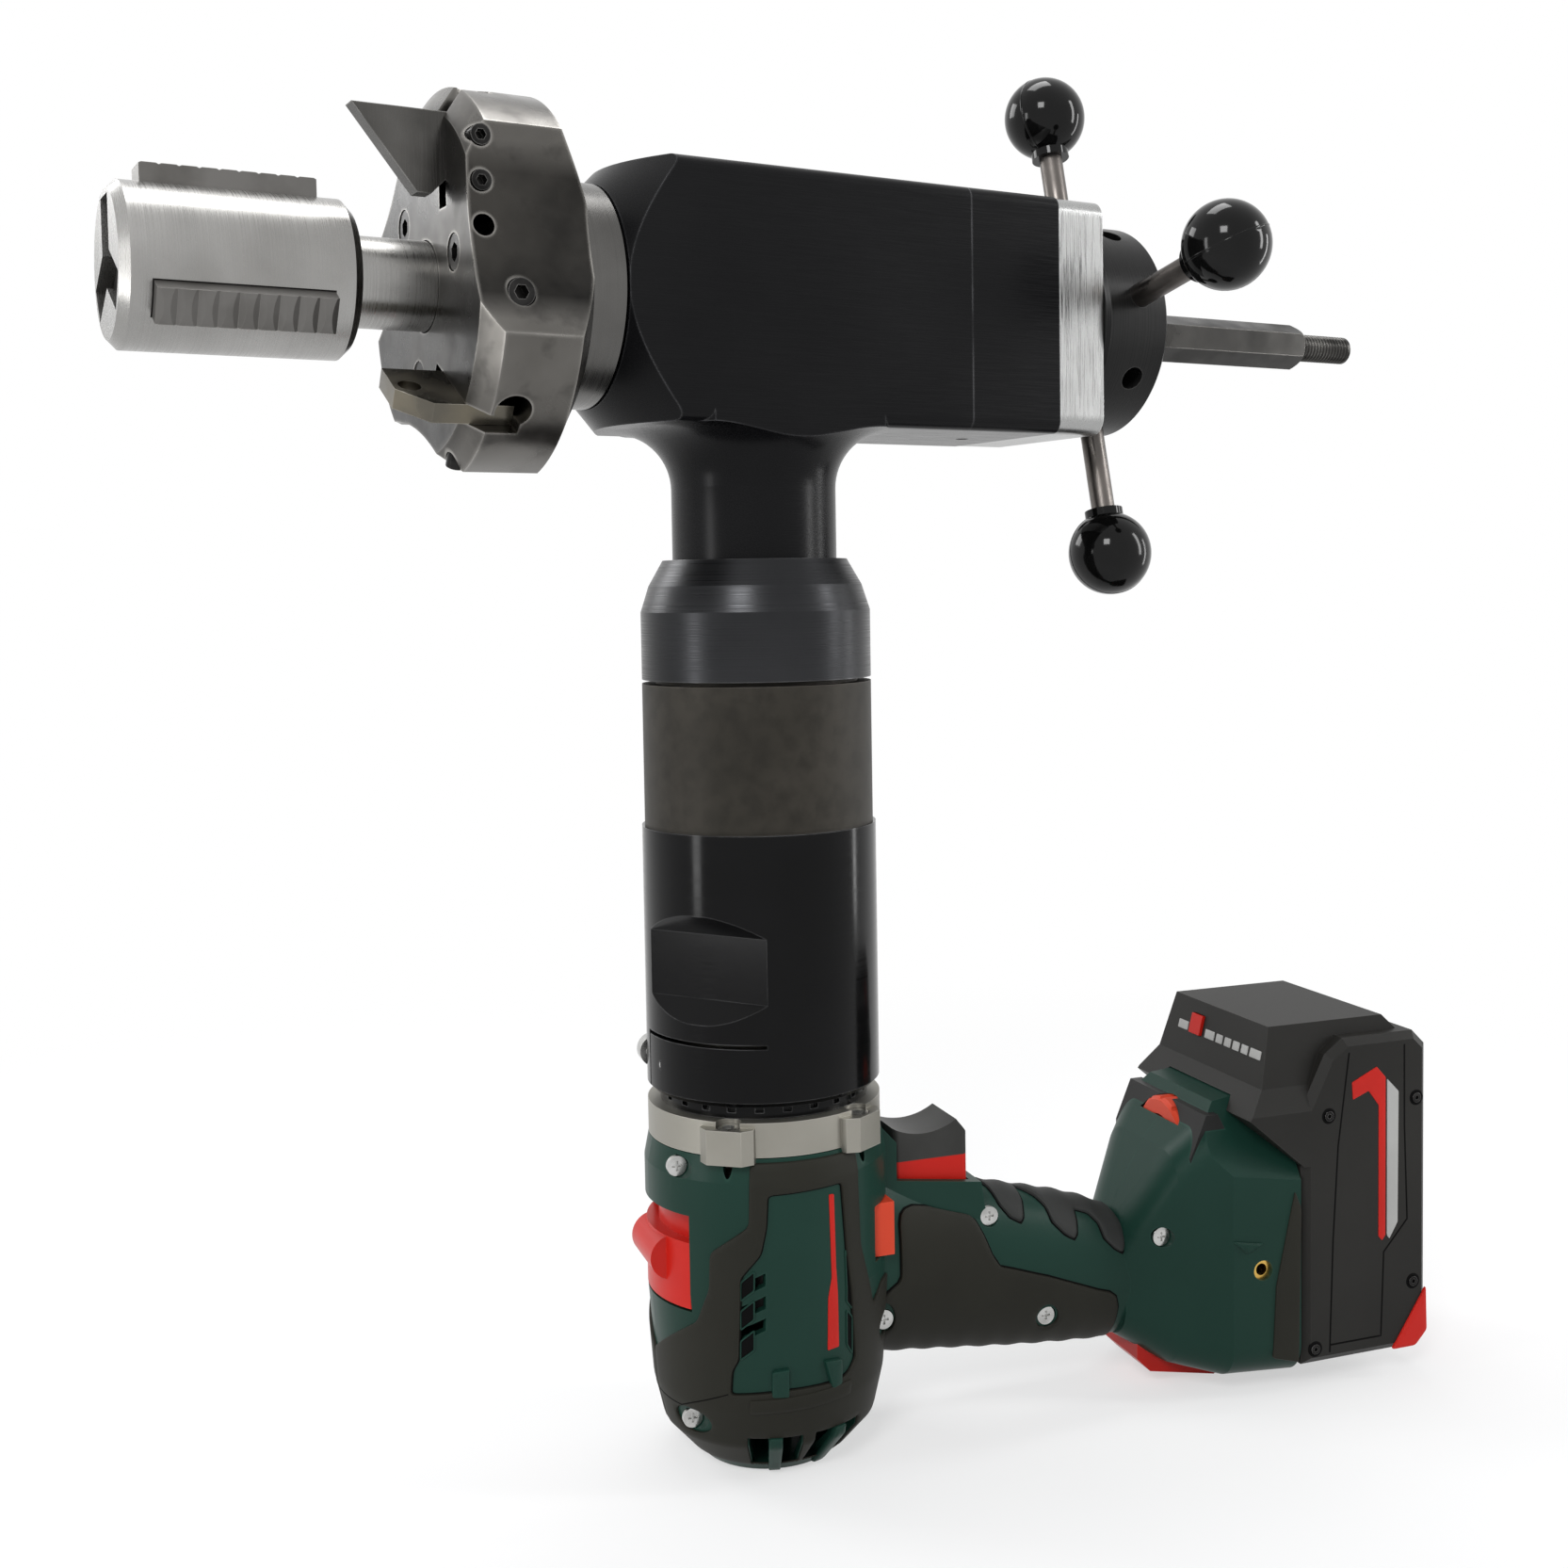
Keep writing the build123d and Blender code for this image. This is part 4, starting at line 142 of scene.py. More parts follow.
def add_camera():
    """The view of the photograph: a yaw about Z, a pitch down and a small roll."""
    forward = Vector((sin(CAMERA_YAW) * cos(CAMERA_PITCH), cos(CAMERA_YAW) * cos(CAMERA_PITCH),
                      -sin(CAMERA_PITCH)))
    right = Vector((cos(CAMERA_YAW), -sin(CAMERA_YAW), 0))
    down = forward.cross(right)
    rolled_right = cos(CAMERA_ROLL) * right + sin(CAMERA_ROLL) * down
    rolled_down = cos(CAMERA_ROLL) * down - sin(CAMERA_ROLL) * right
    turn = Matrix((rolled_right, -rolled_down, -forward)).transposed().to_4x4()
    data = bpy.data.cameras.new("view_camera")
    data.lens = FOCAL_PIXELS / RENDER_SIDE * data.sensor_width
    data.shift_x = (RENDER_SIDE / 2 - CENTRE_PIXEL[0]) / RENDER_SIDE
    data.shift_y = (CENTRE_PIXEL[1] - RENDER_SIDE / 2) / RENDER_SIDE
    data.clip_start = CLIP_START
    camera = bpy.data.objects.new("view_camera", data)
    camera.matrix_world = Matrix.Translation(CAMERA_PLACE) @ turn
    bpy.context.collection.objects.link(camera)
    bpy.context.scene.camera = camera


def add_lamp(name, place, aim, size, energy):
    data = bpy.data.lights.new(name, "AREA")
    data.shape = "RECTANGLE"
    data.size, data.size_y = size
    data.energy = energy
    lamp = bpy.data.objects.new(name, data)
    lamp.location = place
    lamp.rotation_euler = (Vector(aim) - Vector(place)).to_track_quat("-Z", "Y").to_euler()
    bpy.context.collection.objects.link(lamp)


def add_world():
    """A soft room light, with a background that the camera and the mirrors see as white."""
    world = bpy.data.worlds.new("studio")
    world.use_nodes = True
    tree = world.node_tree
    lit = fill(tree.nodes["Background"], {"Color": ROOM_COLOUR, "Strength": ROOM_STRENGTH})
    shown = add_node(tree, "ShaderNodeBackground", {"Color": WHITE, "Strength": 1.0})
    surface = choose(tree, seen_directly(tree), lit.outputs[0], shown.outputs[0])
    fill(tree.nodes["World Output"], {"Surface": surface})
    bpy.context.scene.world = world


def add_floor():
    """A white floor that keeps the shadow near the object and fades into the background."""
    mesh = bpy.data.meshes.new("studio_floor")
    corners = [(x * FLOOR_HALF, y * FLOOR_HALF, FLOOR_Z)
               for x, y in ((-1, -1), (1, -1), (1, 1), (-1, 1))]
    mesh.from_pydata(corners, [], [(0, 1, 2, 3)])
    floor = bpy.data.objects.new("studio_floor", mesh)
    bpy.context.collection.objects.link(floor)
    paint = bpy.data.materials.new("floor_paint")
    paint.use_nodes = True
    tree = paint.node_tree
    shader = fill(tree.nodes["Principled BSDF"], {
        "Base Color": FLOOR_COLOUR, "Roughness": FLOOR_ROUGHNESS, "Specular IOR Level": 0.0})
    white = add_node(tree, "ShaderNodeEmission", {"Color": WHITE})
    place = add_node(tree, "ShaderNodeTexCoord")
    away = add_node(tree, "ShaderNodeVectorMath",
                    {0: place.outputs["Object"], 1: (COLUMN_X, 0, FLOOR_Z)}, operation="DISTANCE")
    fade = add_node(tree, "ShaderNodeMapRange", {
        "From Min": SHADOW_FULL, "From Max": SHADOW_REACH,
        "To Min": SHADOW_FADE, "To Max": 1.0, "Value": away.outputs["Value"]})
    shown = choose(tree, fade.outputs["Result"], shader.outputs[0], white.outputs[0])
    surface = choose(tree, seen_directly(tree), shader.outputs[0], shown)
    fill(tree.nodes["Material Output"], {"Surface": surface})
    mesh.materials.append(paint)


# Finishes. Patterns are told by their scale, in waves per metre, or by the size of their waves.
# Colours are linear, and depths, widths and radii are in metres.

NOISE_RANGE = (0.35, 0.65)      # where the values of noise mostly lie
BRUSH_SIZE = 0.25 * MM          # width of a brushed line
BRUSH_STRETCH = 0.02            # stretch of the noise along the brushed lines
LATHE_SIZE = 0.35 * MM          # width of a lathe line
BEVEL_SAMPLES = 4
EDGE_WEAR_AND_HIGHLIGHT_LEAST = 0.25               # least share of the edge colour on an edge: wear, and on the black anodised housing partly a painted highlight
EDGE_WEAR_AND_HIGHLIGHT_RANGE = (0.38, 0.58)       # noise from which and up to which the edge wear and painted highlight grow
BAND_SOFT = 0.3 * MM            # width of a colour band's soft ends


class Finish:
    """A principled material whose colour, roughness and relief come from a few named patterns."""

    def __init__(self, name, colour, rough, metal=0.0, specular=0.5):
        self.name = name
        self.material = bpy.data.materials.new(name)
        self.material.use_nodes = True
        self.tree = self.material.node_tree
        self.shader = fill(self.tree.nodes["Principled BSDF"],
                           {"Metallic": metal, "Specular IOR Level": specular})
        self.coordinates = self.add("ShaderNodeTexCoord").outputs["Object"]
        self.colour = (*colour, 1.0)
        self.rough = rough
        self.height = None

    def add(self, kind, inputs=(), **settings):
        return add_node(self.tree, kind, inputs, **settings)

    def math(self, operation, first, second):
        return self.add("ShaderNodeMath", {0: first, 1: second}, operation=operation).outputs[0]

    def noise(self, scale, detail=3.0, stretch=(1, 1, 1)):
        """Fractal noise on object coordinates, stretched by a factor along each axis."""
        mapping = self.add("ShaderNodeMapping", {"Scale": stretch, "Vector": self.coordinates})
        return self.noise_of(mapping.outputs["Vector"], scale, detail)

    def noise_of(self, place, scale, detail=3.0):
        node = self.add("ShaderNodeTexNoise", {"Scale": scale, "Detail": detail, "Vector": place})
        return node.outputs["Fac"]

    def ramp(self, value, low, high, span=NOISE_RANGE):
        """Low to high, as the value goes through a span."""
        node = self.add("ShaderNodeMapRange", {
            "From Min": span[0], "From Max": span[1], "To Min": low, "To Max": high,
            "Value": value})
        return node.outputs["Result"]

    def place_along(self, axis):
        apart = self.add("ShaderNodeSeparateXYZ", {0: self.coordinates})
        return apart.outputs[axis.upper()]

    def radius_from(self, centre, axis):
        """Distance from a line through a centre along an axis."""
        across = tuple(float(name != axis) for name in "xyz")
        shift = self.add("ShaderNodeVectorMath", {0: self.coordinates, 1: centre},
                         operation="SUBTRACT")
        flat = self.add("ShaderNodeVectorMath", {0: shift.outputs[0], 1: across},
                        operation="MULTIPLY")
        length = self.add("ShaderNodeVectorMath", {0: flat.outputs[0]}, operation="LENGTH")
        return length.outputs["Value"]

    def tint(self, mask, colour):
        """Mix a second colour in where the mask is one."""
        node = self.add("ShaderNodeMix", {"Factor": mask, "A": self.colour, "B": (*colour, 1.0)},
                        data_type="RGBA")
        self.colour = node.outputs["Result"]
        return self

    def cloud(self, scale, colour, strength=1.0, span=(0.4, 0.7)):
        """Soft patches of a second colour."""
        return self.tint(self.ramp(self.noise(scale, detail=4.0), 0, strength, span), colour)

    def wander(self, pattern, spread):
        """Let the roughness wander about its value."""
        self.rough = self.math("ADD", self.ramp(pattern, -spread, spread), self.rough)
        return self

    def roughen(self, scale, spread, stretch=(1, 1, 1)):
        return self.wander(self.noise(scale, stretch=stretch), spread)

    def relief(self, pattern, depth):
        """Add a pattern to the height."""
        lifted = self.math("MULTIPLY", pattern, depth)
        self.height = lifted if self.height is None else self.math("ADD", self.height, lifted)
        return self

    def grain(self, size, depth):
        """Fine moulded or blasted grain of a given size."""
        return self.relief(self.noise(1 / size, detail=2.0), depth)

    def brushed(self, along, depth=3 * UM, spread=0.08):
        """Fine lines that run along one axis."""
        stretch = tuple(BRUSH_STRETCH if axis == along else 1.0 for axis in "xyz")
        self.relief(self.noise(1 / BRUSH_SIZE, detail=2.0, stretch=stretch), depth)
        return self.roughen(1 / BRUSH_SIZE, spread, stretch)

    def turned(self, centre, axis, depth=3 * UM, spread=0.06):
        """Lathe lines: noise of the distance from the axis and of the place along it."""
        place = self.add("ShaderNodeCombineXYZ",
                         {0: self.radius_from(centre, axis), 1: self.place_along(axis)})
        lines = self.noise_of(place.outputs[0], 1 / LATHE_SIZE)
        return self.relief(lines, depth).wander(lines, spread)

    def edges(self, radius, colour, strength, span=(0.02, 0.25), broken=60.0):
        """A paler colour where the surface bends sharply, broken up by noise of a given scale: edge
        wear, which on the black anodised housing is partly a painted highlight.
        """
        bevel = self.add("ShaderNodeBevel", {"Radius": radius}, samples=BEVEL_SAMPLES)
        geometry = self.add("ShaderNodeNewGeometry")
        same = self.add("ShaderNodeVectorMath",
                        {0: bevel.outputs[0], 1: geometry.outputs["Normal"]},
                        operation="DOT_PRODUCT")
        bend = self.math("SUBTRACT", 1.0, same.outputs["Value"])
        mask = self.ramp(bend, 0, strength, span)
        patches = self.ramp(self.noise(broken), EDGE_WEAR_AND_HIGHLIGHT_LEAST, 1, EDGE_WEAR_AND_HIGHLIGHT_RANGE)
        return self.tint(self.math("MULTIPLY", mask, patches), colour)

    def band(self, axis, low, high, colour):
        """A second colour between two places along an axis, with soft ends."""
        value = self.place_along(axis)
        rise = self.ramp(value, 0, 1, (low - BAND_SOFT / 2, low + BAND_SOFT / 2))
        fall = self.ramp(value, 1, 0, (high - BAND_SOFT / 2, high + BAND_SOFT / 2))
        return self.tint(self.math("MULTIPLY", rise, fall), colour)

    def done(self):
        fill(self.shader, {"Base Color": self.colour, "Roughness": self.rough})
        if self.height is not None:
            bump = self.add("ShaderNodeBump",
                            {"Strength": 1.0, "Distance": 1.0, "Height": self.height})
            fill(self.shader, {"Normal": bump.outputs["Normal"]})
        return self.material


RED = (0.46, 0.011, 0.006)
HEAD_LOBES = (46 * MM, 51.5 * MM)       # radii between which the head's darker scoops, partly painted shade, pass into its paler lobes
TRIGGER_SEAM = -273.5 * MM              # height of the line between the trigger's skin and red foot
BELOW_ALL = -400 * MM


def head_steel():
    """The cutter head: dark blackened steel, with its hollow scoops darker than its paler lobes
    partly as painted shade, and bright worn edges.
    """
    head = Finish("head_steel", (0.011, 0.0108, 0.0105), 0.3, metal=1.0)
    # Darker inside the lobes' radii: partly the blackened steel, partly painted shade in the hollow
    # scoops.
    lobes = head.ramp(head.radius_from(MAIN_AXIS, "x"), 0, 1, HEAD_LOBES)
    head.cloud(60, (0.026, 0.025, 0.0235), 0.9).tint(lobes, (0.14, 0.134, 0.125))
    head.cloud(24, (0.07, 0.066, 0.06), 0.7).cloud(110, (0.02, 0.019, 0.018), 0.5, (0.55, 0.75))
    head.roughen(55, 0.1).grain(0.5 * MM, 7 * UM)
    return head.edges(1.6 * MM, (0.42, 0.405, 0.38), 0.9, span=(0.01, 0.2), broken=45)


def make_finishes():
    """Every finish: first its colour and roughness, then its patches, lines or grain, and its edge
    wear, which on the black anodised housing is partly a painted highlight.
    """
    return [
        # The housing's pale edges are partly wear and partly a painted highlight, standing in for
        # the light along its top chamfer.
        Finish("black_anodised", (0.0035, 0.0035, 0.004), 0.27, specular=0.1)
        .cloud(14, (0.006, 0.006, 0.0065)).brushed("x", depth=1.5 * UM, spread=0.05)
        .edges(0.9 * MM, (0.13, 0.13, 0.135), 0.7),
        Finish("bright_plate", (0.4, 0.403, 0.4), 0.3, metal=1.0)
        .cloud(30, (0.27, 0.27, 0.266), 0.8).brushed("z", depth=4 * UM, spread=0.1)
        .edges(0.6 * MM, (0.85, 0.85, 0.85), 0.8),
        head_steel(),
        Finish("spindle_steel", (0.13, 0.127, 0.122), 0.27, metal=1.0)
        .cloud(25, (0.07, 0.068, 0.065), 0.7).turned(MAIN_AXIS, "x"),
        Finish("mandrel_steel", (0.36, 0.355, 0.345), 0.3, metal=1.0)
        .cloud(25, (0.22, 0.215, 0.205), 0.7).turned(MAIN_AXIS, "x"),
        Finish("draw_steel", (0.022, 0.0215, 0.0205), 0.34, metal=1.0)
        .cloud(40, (0.045, 0.0435, 0.041), 0.8).roughen(60, 0.12).grain(0.4 * MM, 6 * UM)
        .edges(0.6 * MM, (0.3, 0.29, 0.275), 0.8),
        Finish("hub_black", (0.005, 0.005, 0.005), 0.3, specular=0.14)
        .cloud(30, (0.009, 0.009, 0.0088)).turned(MAIN_AXIS, "x", spread=0.05)
        .edges(0.6 * MM, (0.09, 0.088, 0.085), 0.7),
        Finish("grip_steel", (0.16, 0.155, 0.148), 0.42, metal=1.0)
        .cloud(60, (0.09, 0.086, 0.08), 0.8).grain(0.4 * MM, 8 * UM)
        .edges(0.4 * MM, (0.45, 0.43, 0.41), 0.8),
        Finish("gear_steel", (0.3, 0.29, 0.28), 0.35, metal=1.0)
        .cloud(70, (0.2, 0.19, 0.18), 0.7).roughen(80, 0.1),
        Finish("bearing_steel", (0.6, 0.6, 0.6), 0.12, metal=1.0)
        .cloud(50, (0.5, 0.5, 0.5), 0.5).roughen(80, 0.04),
        Finish("screw_black", (0.014, 0.0138, 0.0135), 0.34, metal=0.9, specular=0.15)
        .cloud(150, (0.035, 0.034, 0.033), 0.8)
        .edges(0.4 * MM, (0.34, 0.33, 0.32), 0.9).roughen(120, 0.1),
        Finish("tool_steel", (0.07, 0.068, 0.064), 0.3, metal=1.0)
        .cloud(45, (0.12, 0.116, 0.11), 0.8).brushed("z", depth=4 * UM)
        .edges(0.6 * MM, (0.5, 0.49, 0.47), 0.9),
        Finish("carbide", (0.11, 0.102, 0.085), 0.3, metal=1.0)
        .cloud(60, (0.18, 0.16, 0.12), 0.8).roughen(60, 0.1)
        .edges(0.4 * MM, (0.5, 0.48, 0.42), 0.9),
        Finish("lever_steel", (0.1, 0.092, 0.086), 0.36, metal=1.0)
        .cloud(50, (0.15, 0.135, 0.125), 0.8).roughen(60, 0.12).grain(0.35 * MM, 6 * UM),
        Finish("ball_black", (0.002, 0.002, 0.002), 0.09, specular=0.2)
        .cloud(60, (0.004, 0.004, 0.004)).roughen(45, 0.03),
        Finish("collar_grey", (0.024, 0.0245, 0.026), 0.33, metal=0.85, specular=0.15)
        .cloud(20, (0.036, 0.0365, 0.039), 0.8)
        .turned(COLUMN_AXIS, "z", depth=9 * UM, spread=0.08)
        .edges(0.6 * MM, (0.2, 0.2, 0.2), 0.6),
        Finish("sleeve_brown", (0.026, 0.0235, 0.019), 0.5, metal=0.35, specular=0.15)
        .cloud(28, (0.038, 0.034, 0.028), 0.9).cloud(180, (0.016, 0.0145, 0.012), 0.6)
        .grain(0.35 * MM, 9 * UM).edges(0.6 * MM, (0.13, 0.12, 0.11), 0.6),
        Finish("adaptor_black", (0.002, 0.002, 0.0022), 0.15, specular=0.12)
        .cloud(22, (0.0035, 0.0035, 0.0038))
        .turned(COLUMN_AXIS, "z", depth=2.5 * UM, spread=0.04)
        .edges(0.6 * MM, (0.14, 0.14, 0.14), 0.8),
        Finish("cast_grey", (0.29, 0.279, 0.246), 0.42, metal=0.9)
        .cloud(50, (0.25, 0.24, 0.21), 0.7).grain(0.5 * MM, 14 * UM)
        .edges(0.5 * MM, (0.6, 0.585, 0.54), 0.7),
        Finish("casing_green", (0.0062, 0.0275, 0.0195), 0.36, specular=0.13)
        .cloud(12, (0.009, 0.036, 0.0265), 0.8).grain(0.45 * MM, 16 * UM)
        .edges(0.7 * MM, (0.025, 0.075, 0.056), 0.5),
        Finish("soft_grip", (0.0135, 0.0132, 0.0098), 0.55, specular=0.13)
        .cloud(16, (0.019, 0.0185, 0.0138), 0.8).grain(0.4 * MM, 18 * UM)
        .edges(0.6 * MM, (0.045, 0.043, 0.034), 0.5),
        Finish("zinc", (0.5, 0.5, 0.49), 0.26, metal=1.0)
        .cloud(200, (0.32, 0.32, 0.31), 0.8).roughen(200, 0.1)
        .edges(0.3 * MM, (0.75, 0.75, 0.73), 0.8),
        Finish("copper", (0.4, 0.16, 0.07), 0.4, metal=1.0)
        .cloud(150, (0.25, 0.1, 0.05), 0.8).brushed("z"),
        Finish("nylon_black", (0.009, 0.009, 0.0088), 0.4, specular=0.16)
        .cloud(30, (0.014, 0.014, 0.0136)).grain(0.4 * MM, 14 * UM)
        .edges(0.5 * MM, (0.04, 0.04, 0.04), 0.6),
        Finish("signal_red", RED, 0.34, specular=0.18)
        .cloud(40, (0.39, 0.009, 0.005), 0.8).grain(0.5 * MM, 10 * UM)
        .edges(0.5 * MM, (0.6, 0.04, 0.025), 0.5),
        Finish("signal_orange", (0.6, 0.055, 0.022), 0.38, specular=0.18)
        .cloud(40, (0.52, 0.045, 0.018), 0.8).grain(0.5 * MM, 10 * UM)
        .edges(0.5 * MM, (0.72, 0.1, 0.05), 0.5),
        Finish("brass_insert", (0.62, 0.4, 0.1), 0.24, metal=1.0)
        .cloud(200, (0.5, 0.3, 0.07), 0.7).roughen(200, 0.08),
        Finish("battery_black", (0.0115, 0.011, 0.0098), 0.48, specular=0.16)
        .cloud(16, (0.017, 0.0163, 0.0145), 0.8).grain(0.5 * MM, 20 * UM)
        .edges(0.7 * MM, (0.045, 0.043, 0.04), 0.5),
        Finish("cell_steel", (0.05, 0.16, 0.3), 0.35)
        .cloud(60, (0.04, 0.13, 0.25), 0.7).roughen(60, 0.08),
        # Painted shade: near-black for the grooves, seams, side slots and screw pockets, which are
        # dark from the shade in them.
        Finish("gap_black", (0.002, 0.002, 0.002), 0.7, specular=0.05)
        .cloud(60, (0.003, 0.003, 0.003)).grain(0.4 * MM, 6 * UM),
        Finish("finger_grip", (0.026, 0.027, 0.026), 0.56, specular=0.15)
        .cloud(16, (0.035, 0.036, 0.035), 0.8).grain(0.4 * MM, 18 * UM)
        .edges(0.6 * MM, (0.07, 0.07, 0.07), 0.5),
        Finish("label_grey", (0.36, 0.36, 0.35), 0.45, specular=0.2)
        .cloud(40, (0.3, 0.3, 0.29), 0.7).grain(0.4 * MM, 4 * UM).roughen(60, 0.06),
        Finish("trigger_skin", (0.03, 0.03, 0.028), 0.42, specular=0.16)
        .cloud(60, (0.04, 0.04, 0.038)).grain(0.4 * MM, 14 * UM)
        .band("z", BELOW_ALL, TRIGGER_SEAM, RED),
    ]


MATERIALS = {finish.name: finish.done() for finish in make_finishes()}
OWN_FINISH = {"trigger": "trigger_skin", "feed_hub": "hub_black", "motor_stator": "screw_black"}


def dress_frame():
    """Give every CAD node its finish, from the record's slots with a few of its own."""
    slots = {part["node"]: part["material_slot"] for part in frame["record"]["subparts"]}
    for name, node in frame["nodes"].items():
        node.data.materials.clear()
        node.data.materials.append(MATERIALS[OWN_FINISH.get(name, slots[name])])


# Surfaces that the thin pieces lie on. Flat places u, v and heights are in millimetres. Each
# surface gives points in the motor unit's own frame: x along the handle, -y on the near side, z up.

BARREL_PROFILE = np.array([
    # depth, radius
    (258.5, 37.0), (266.0, 38.5), (302.0, 38.5), (336.0, 36.0), (349.0, 33.0), (361.5, 22.0)])
BARREL_FLAT = 38.5              # radius at which the flat arc lengths are measured
GRIP_SECTIONS = np.array([
    # place along the handle, depth of the middle, half height, half width
    (24.32, 300.11, 36.0, 21.35), (52.48, 308.90, 29.99, 17.5), (80.64, 315.41, 26.71, 16.98),
    (106.24, 319.97, 24.48, 16.45), (128.0, 325.5, 19.98, 15.93)])
GRIP_DEPTH, GRIP_TALL, GRIP_WIDE = (    # each the curve through its five values
    np.polyfit(GRIP_SECTIONS[:, 0], GRIP_SECTIONS[:, column], len(GRIP_SECTIONS) - 1)
    for column in (1, 2, 3))
GRIP_FLAT = 24.0                # the handle's mean radius, at which its flat arcs are measured
FOOT_SIDES = np.array([
    # place along the handle, half width
    (122.1, 15.1), (137.2, 25.0), (152.2, 34.6), (177.0, 36.8)])
BATTERY_SIDE = 38.0             # half width of the battery
NOSE_LOW = (163.5, 257.0)       # place along the handle and depth of its nose's low edge
NOSE_HIGH = (168.5, 237.0)      # and of its nose's high edge


def on_barrel(u, v, height):
    """Round the motor barrel: the angle is the arc over the flat radius, the depth is v, and the
    distance from the axis is the casing's turned profile plus the height."""
    radius = np.interp(v, *BARREL_PROFILE.T) + height
    return np.stack([radius * np.sin(u / BARREL_FLAT), -radius * np.cos(u / BARREL_FLAT), -v], 1)


def on_grip(u, v, height):
    """Round the handle: an ellipse at each place, whose angle is the arc over the flat radius."""
    angle = v / GRIP_FLAT
    tall = np.polyval(GRIP_TALL, u) + height
    wide = np.polyval(GRIP_WIDE, u) + height
    return np.stack([u, -wide * np.cos(angle), tall * np.sin(angle) - np.polyval(GRIP_DEPTH, u)], 1)


def on_foot(u, v, height):
    """The foot's near side, whose half width grows along the handle."""
    return np.stack([u, -np.interp(u, *FOOT_SIDES.T) - height, -v], 1)


def on_battery(u, v, height):
    """The battery's flat near side."""
    return np.stack([u, -BATTERY_SIDE - height, -v], 1)


def on_nose(u, v, height):
    """The sloping front of the battery's nose: u runs across it, v is the depth."""
    run, rise = NOSE_HIGH[0] - NOSE_LOW[0], NOSE_LOW[1] - NOSE_HIGH[1]
    share = (NOSE_LOW[1] - v) / rise
    slope = (run ** 2 + rise ** 2) ** 0.5
    along = NOSE_LOW[0] + share * run - height * rise / slope
    return np.stack([along, u, -v + height * run / slope], 1)


def to_barrel(places):
    """From angle in degrees and depth to flat arc and depth."""
    return [(radians(angle) * BARREL_FLAT, depth) for angle, depth in places]


def to_grip(places):
    """From place along the handle and depth on its side to place and flat arc."""
    flat = []
    for along, depth in places:
        share = (np.polyval(GRIP_DEPTH, along) - depth) / np.polyval(GRIP_TALL, along)
        flat.append((along, np.arcsin(np.clip(share, -1, 1)) * GRIP_FLAT))
    return flat


# Flat outlines and nets, in millimetres

TINY = 1e-12                    # keeps a division from zero
SAME_PLACE = 1e-6               # distance under which two flat places are one
NET_TOLERANCE = 1e-5            # the same, for the triangle net
CORNER_SHARE = 0.45             # most of a side that a rounded corner takes
CORNER_STEPS = 4
NET_ROWS = (
    # distance of a row from an edge, least room that it keeps, both as shares of the rounding
    (0.3, 0.28), (1, 0.93))


def mirrored_about(chain, middle):
    """Close an open chain of flat places with its mirror image about v = middle."""
    return chain + [(along, 2 * middle - arc) for along, arc in reversed(chain)
                    if abs(arc - middle) > SAME_PLACE]


def rounded(outline, radius):
    """Round each corner of a closed outline: a curve from side to side that bends at the corner."""
    points = np.array(outline, float)
    ends = []
    for neighbour in (np.roll(points, 1, 0), np.roll(points, -1, 0)):
        side = neighbour - points
        length = np.linalg.norm(side, axis=1, keepdims=True)
        ends.append(points + side / length * np.minimum(radius, length * CORNER_SHARE))
    start, end = (places[:, None] for places in ends)
    share = np.linspace(0, 1, CORNER_STEPS + 1)[None, :, None]
    curve = ((1 - share) ** 2 * start + 2 * share * (1 - share) * points[:, None]
             + share ** 2 * end)
    return curve.reshape(-1, 2)


def oval(middle, half_u, half_v, count=28):
    angle = np.linspace(0, 2 * pi, count, endpoint=False)
    return np.stack([middle[0] + half_u * np.cos(angle), middle[1] + half_v * np.sin(angle)], 1)


def divided(outline, step):
    """Points at most a step apart along a closed outline."""
    pieces = []
    for start, end in zip(outline, np.roll(outline, -1, 0)):
        count = max(1, int(np.ceil(np.linalg.norm(end - start) / step)))
        pieces.append(start + (end - start) * np.arange(count)[:, None] / count)
    return np.concatenate(pieces)


def inside(points, outline):
    """Whether each point lies inside a closed outline, by the crossings to its right."""
    start, end = outline, np.roll(outline, -1, 0)
    run, rise = (end - start).T
    rise = np.where(rise == 0, TINY, rise)
    u, v = points[:, :1], points[:, 1:]
    spans = (start[:, 1] > v) != (end[:, 1] > v)
    cross = start[:, 0] + (v - start[:, 1]) / rise * run
    return (spans & (u < cross)).sum(1) % 2 == 1


def distance_to(points, outline):
    """Distance from each point to the nearest side of a closed outline."""
    start = outline[None]
    side = (np.roll(outline, -1, 0) - outline)[None]
    share = ((points[:, None] - start) * side).sum(2) / np.maximum((side ** 2).sum(2), TINY)
    nearest = start + np.clip(share, 0, 1)[..., None] * side
    return np.linalg.norm(points[:, None] - nearest, axis=2).min(1)


def unit(vectors):
    return vectors / np.maximum(np.linalg.norm(vectors, axis=1, keepdims=True), TINY)


def left_of(along):
    """The flat directions at a right angle to others."""
    return np.stack([-along[:, 1], along[:, 0]], 1)


def in_sheet(points, loops, margin=None):
    """Whether each point is inside the first loop and outside the others, with room to them all."""
    fits = inside(points, loops[0])
    for hole in loops[1:]:
        fits &= ~inside(points, hole)
    if margin is not None:
        for loop in loops:
            fits &= distance_to(points, loop) > margin
    return fits


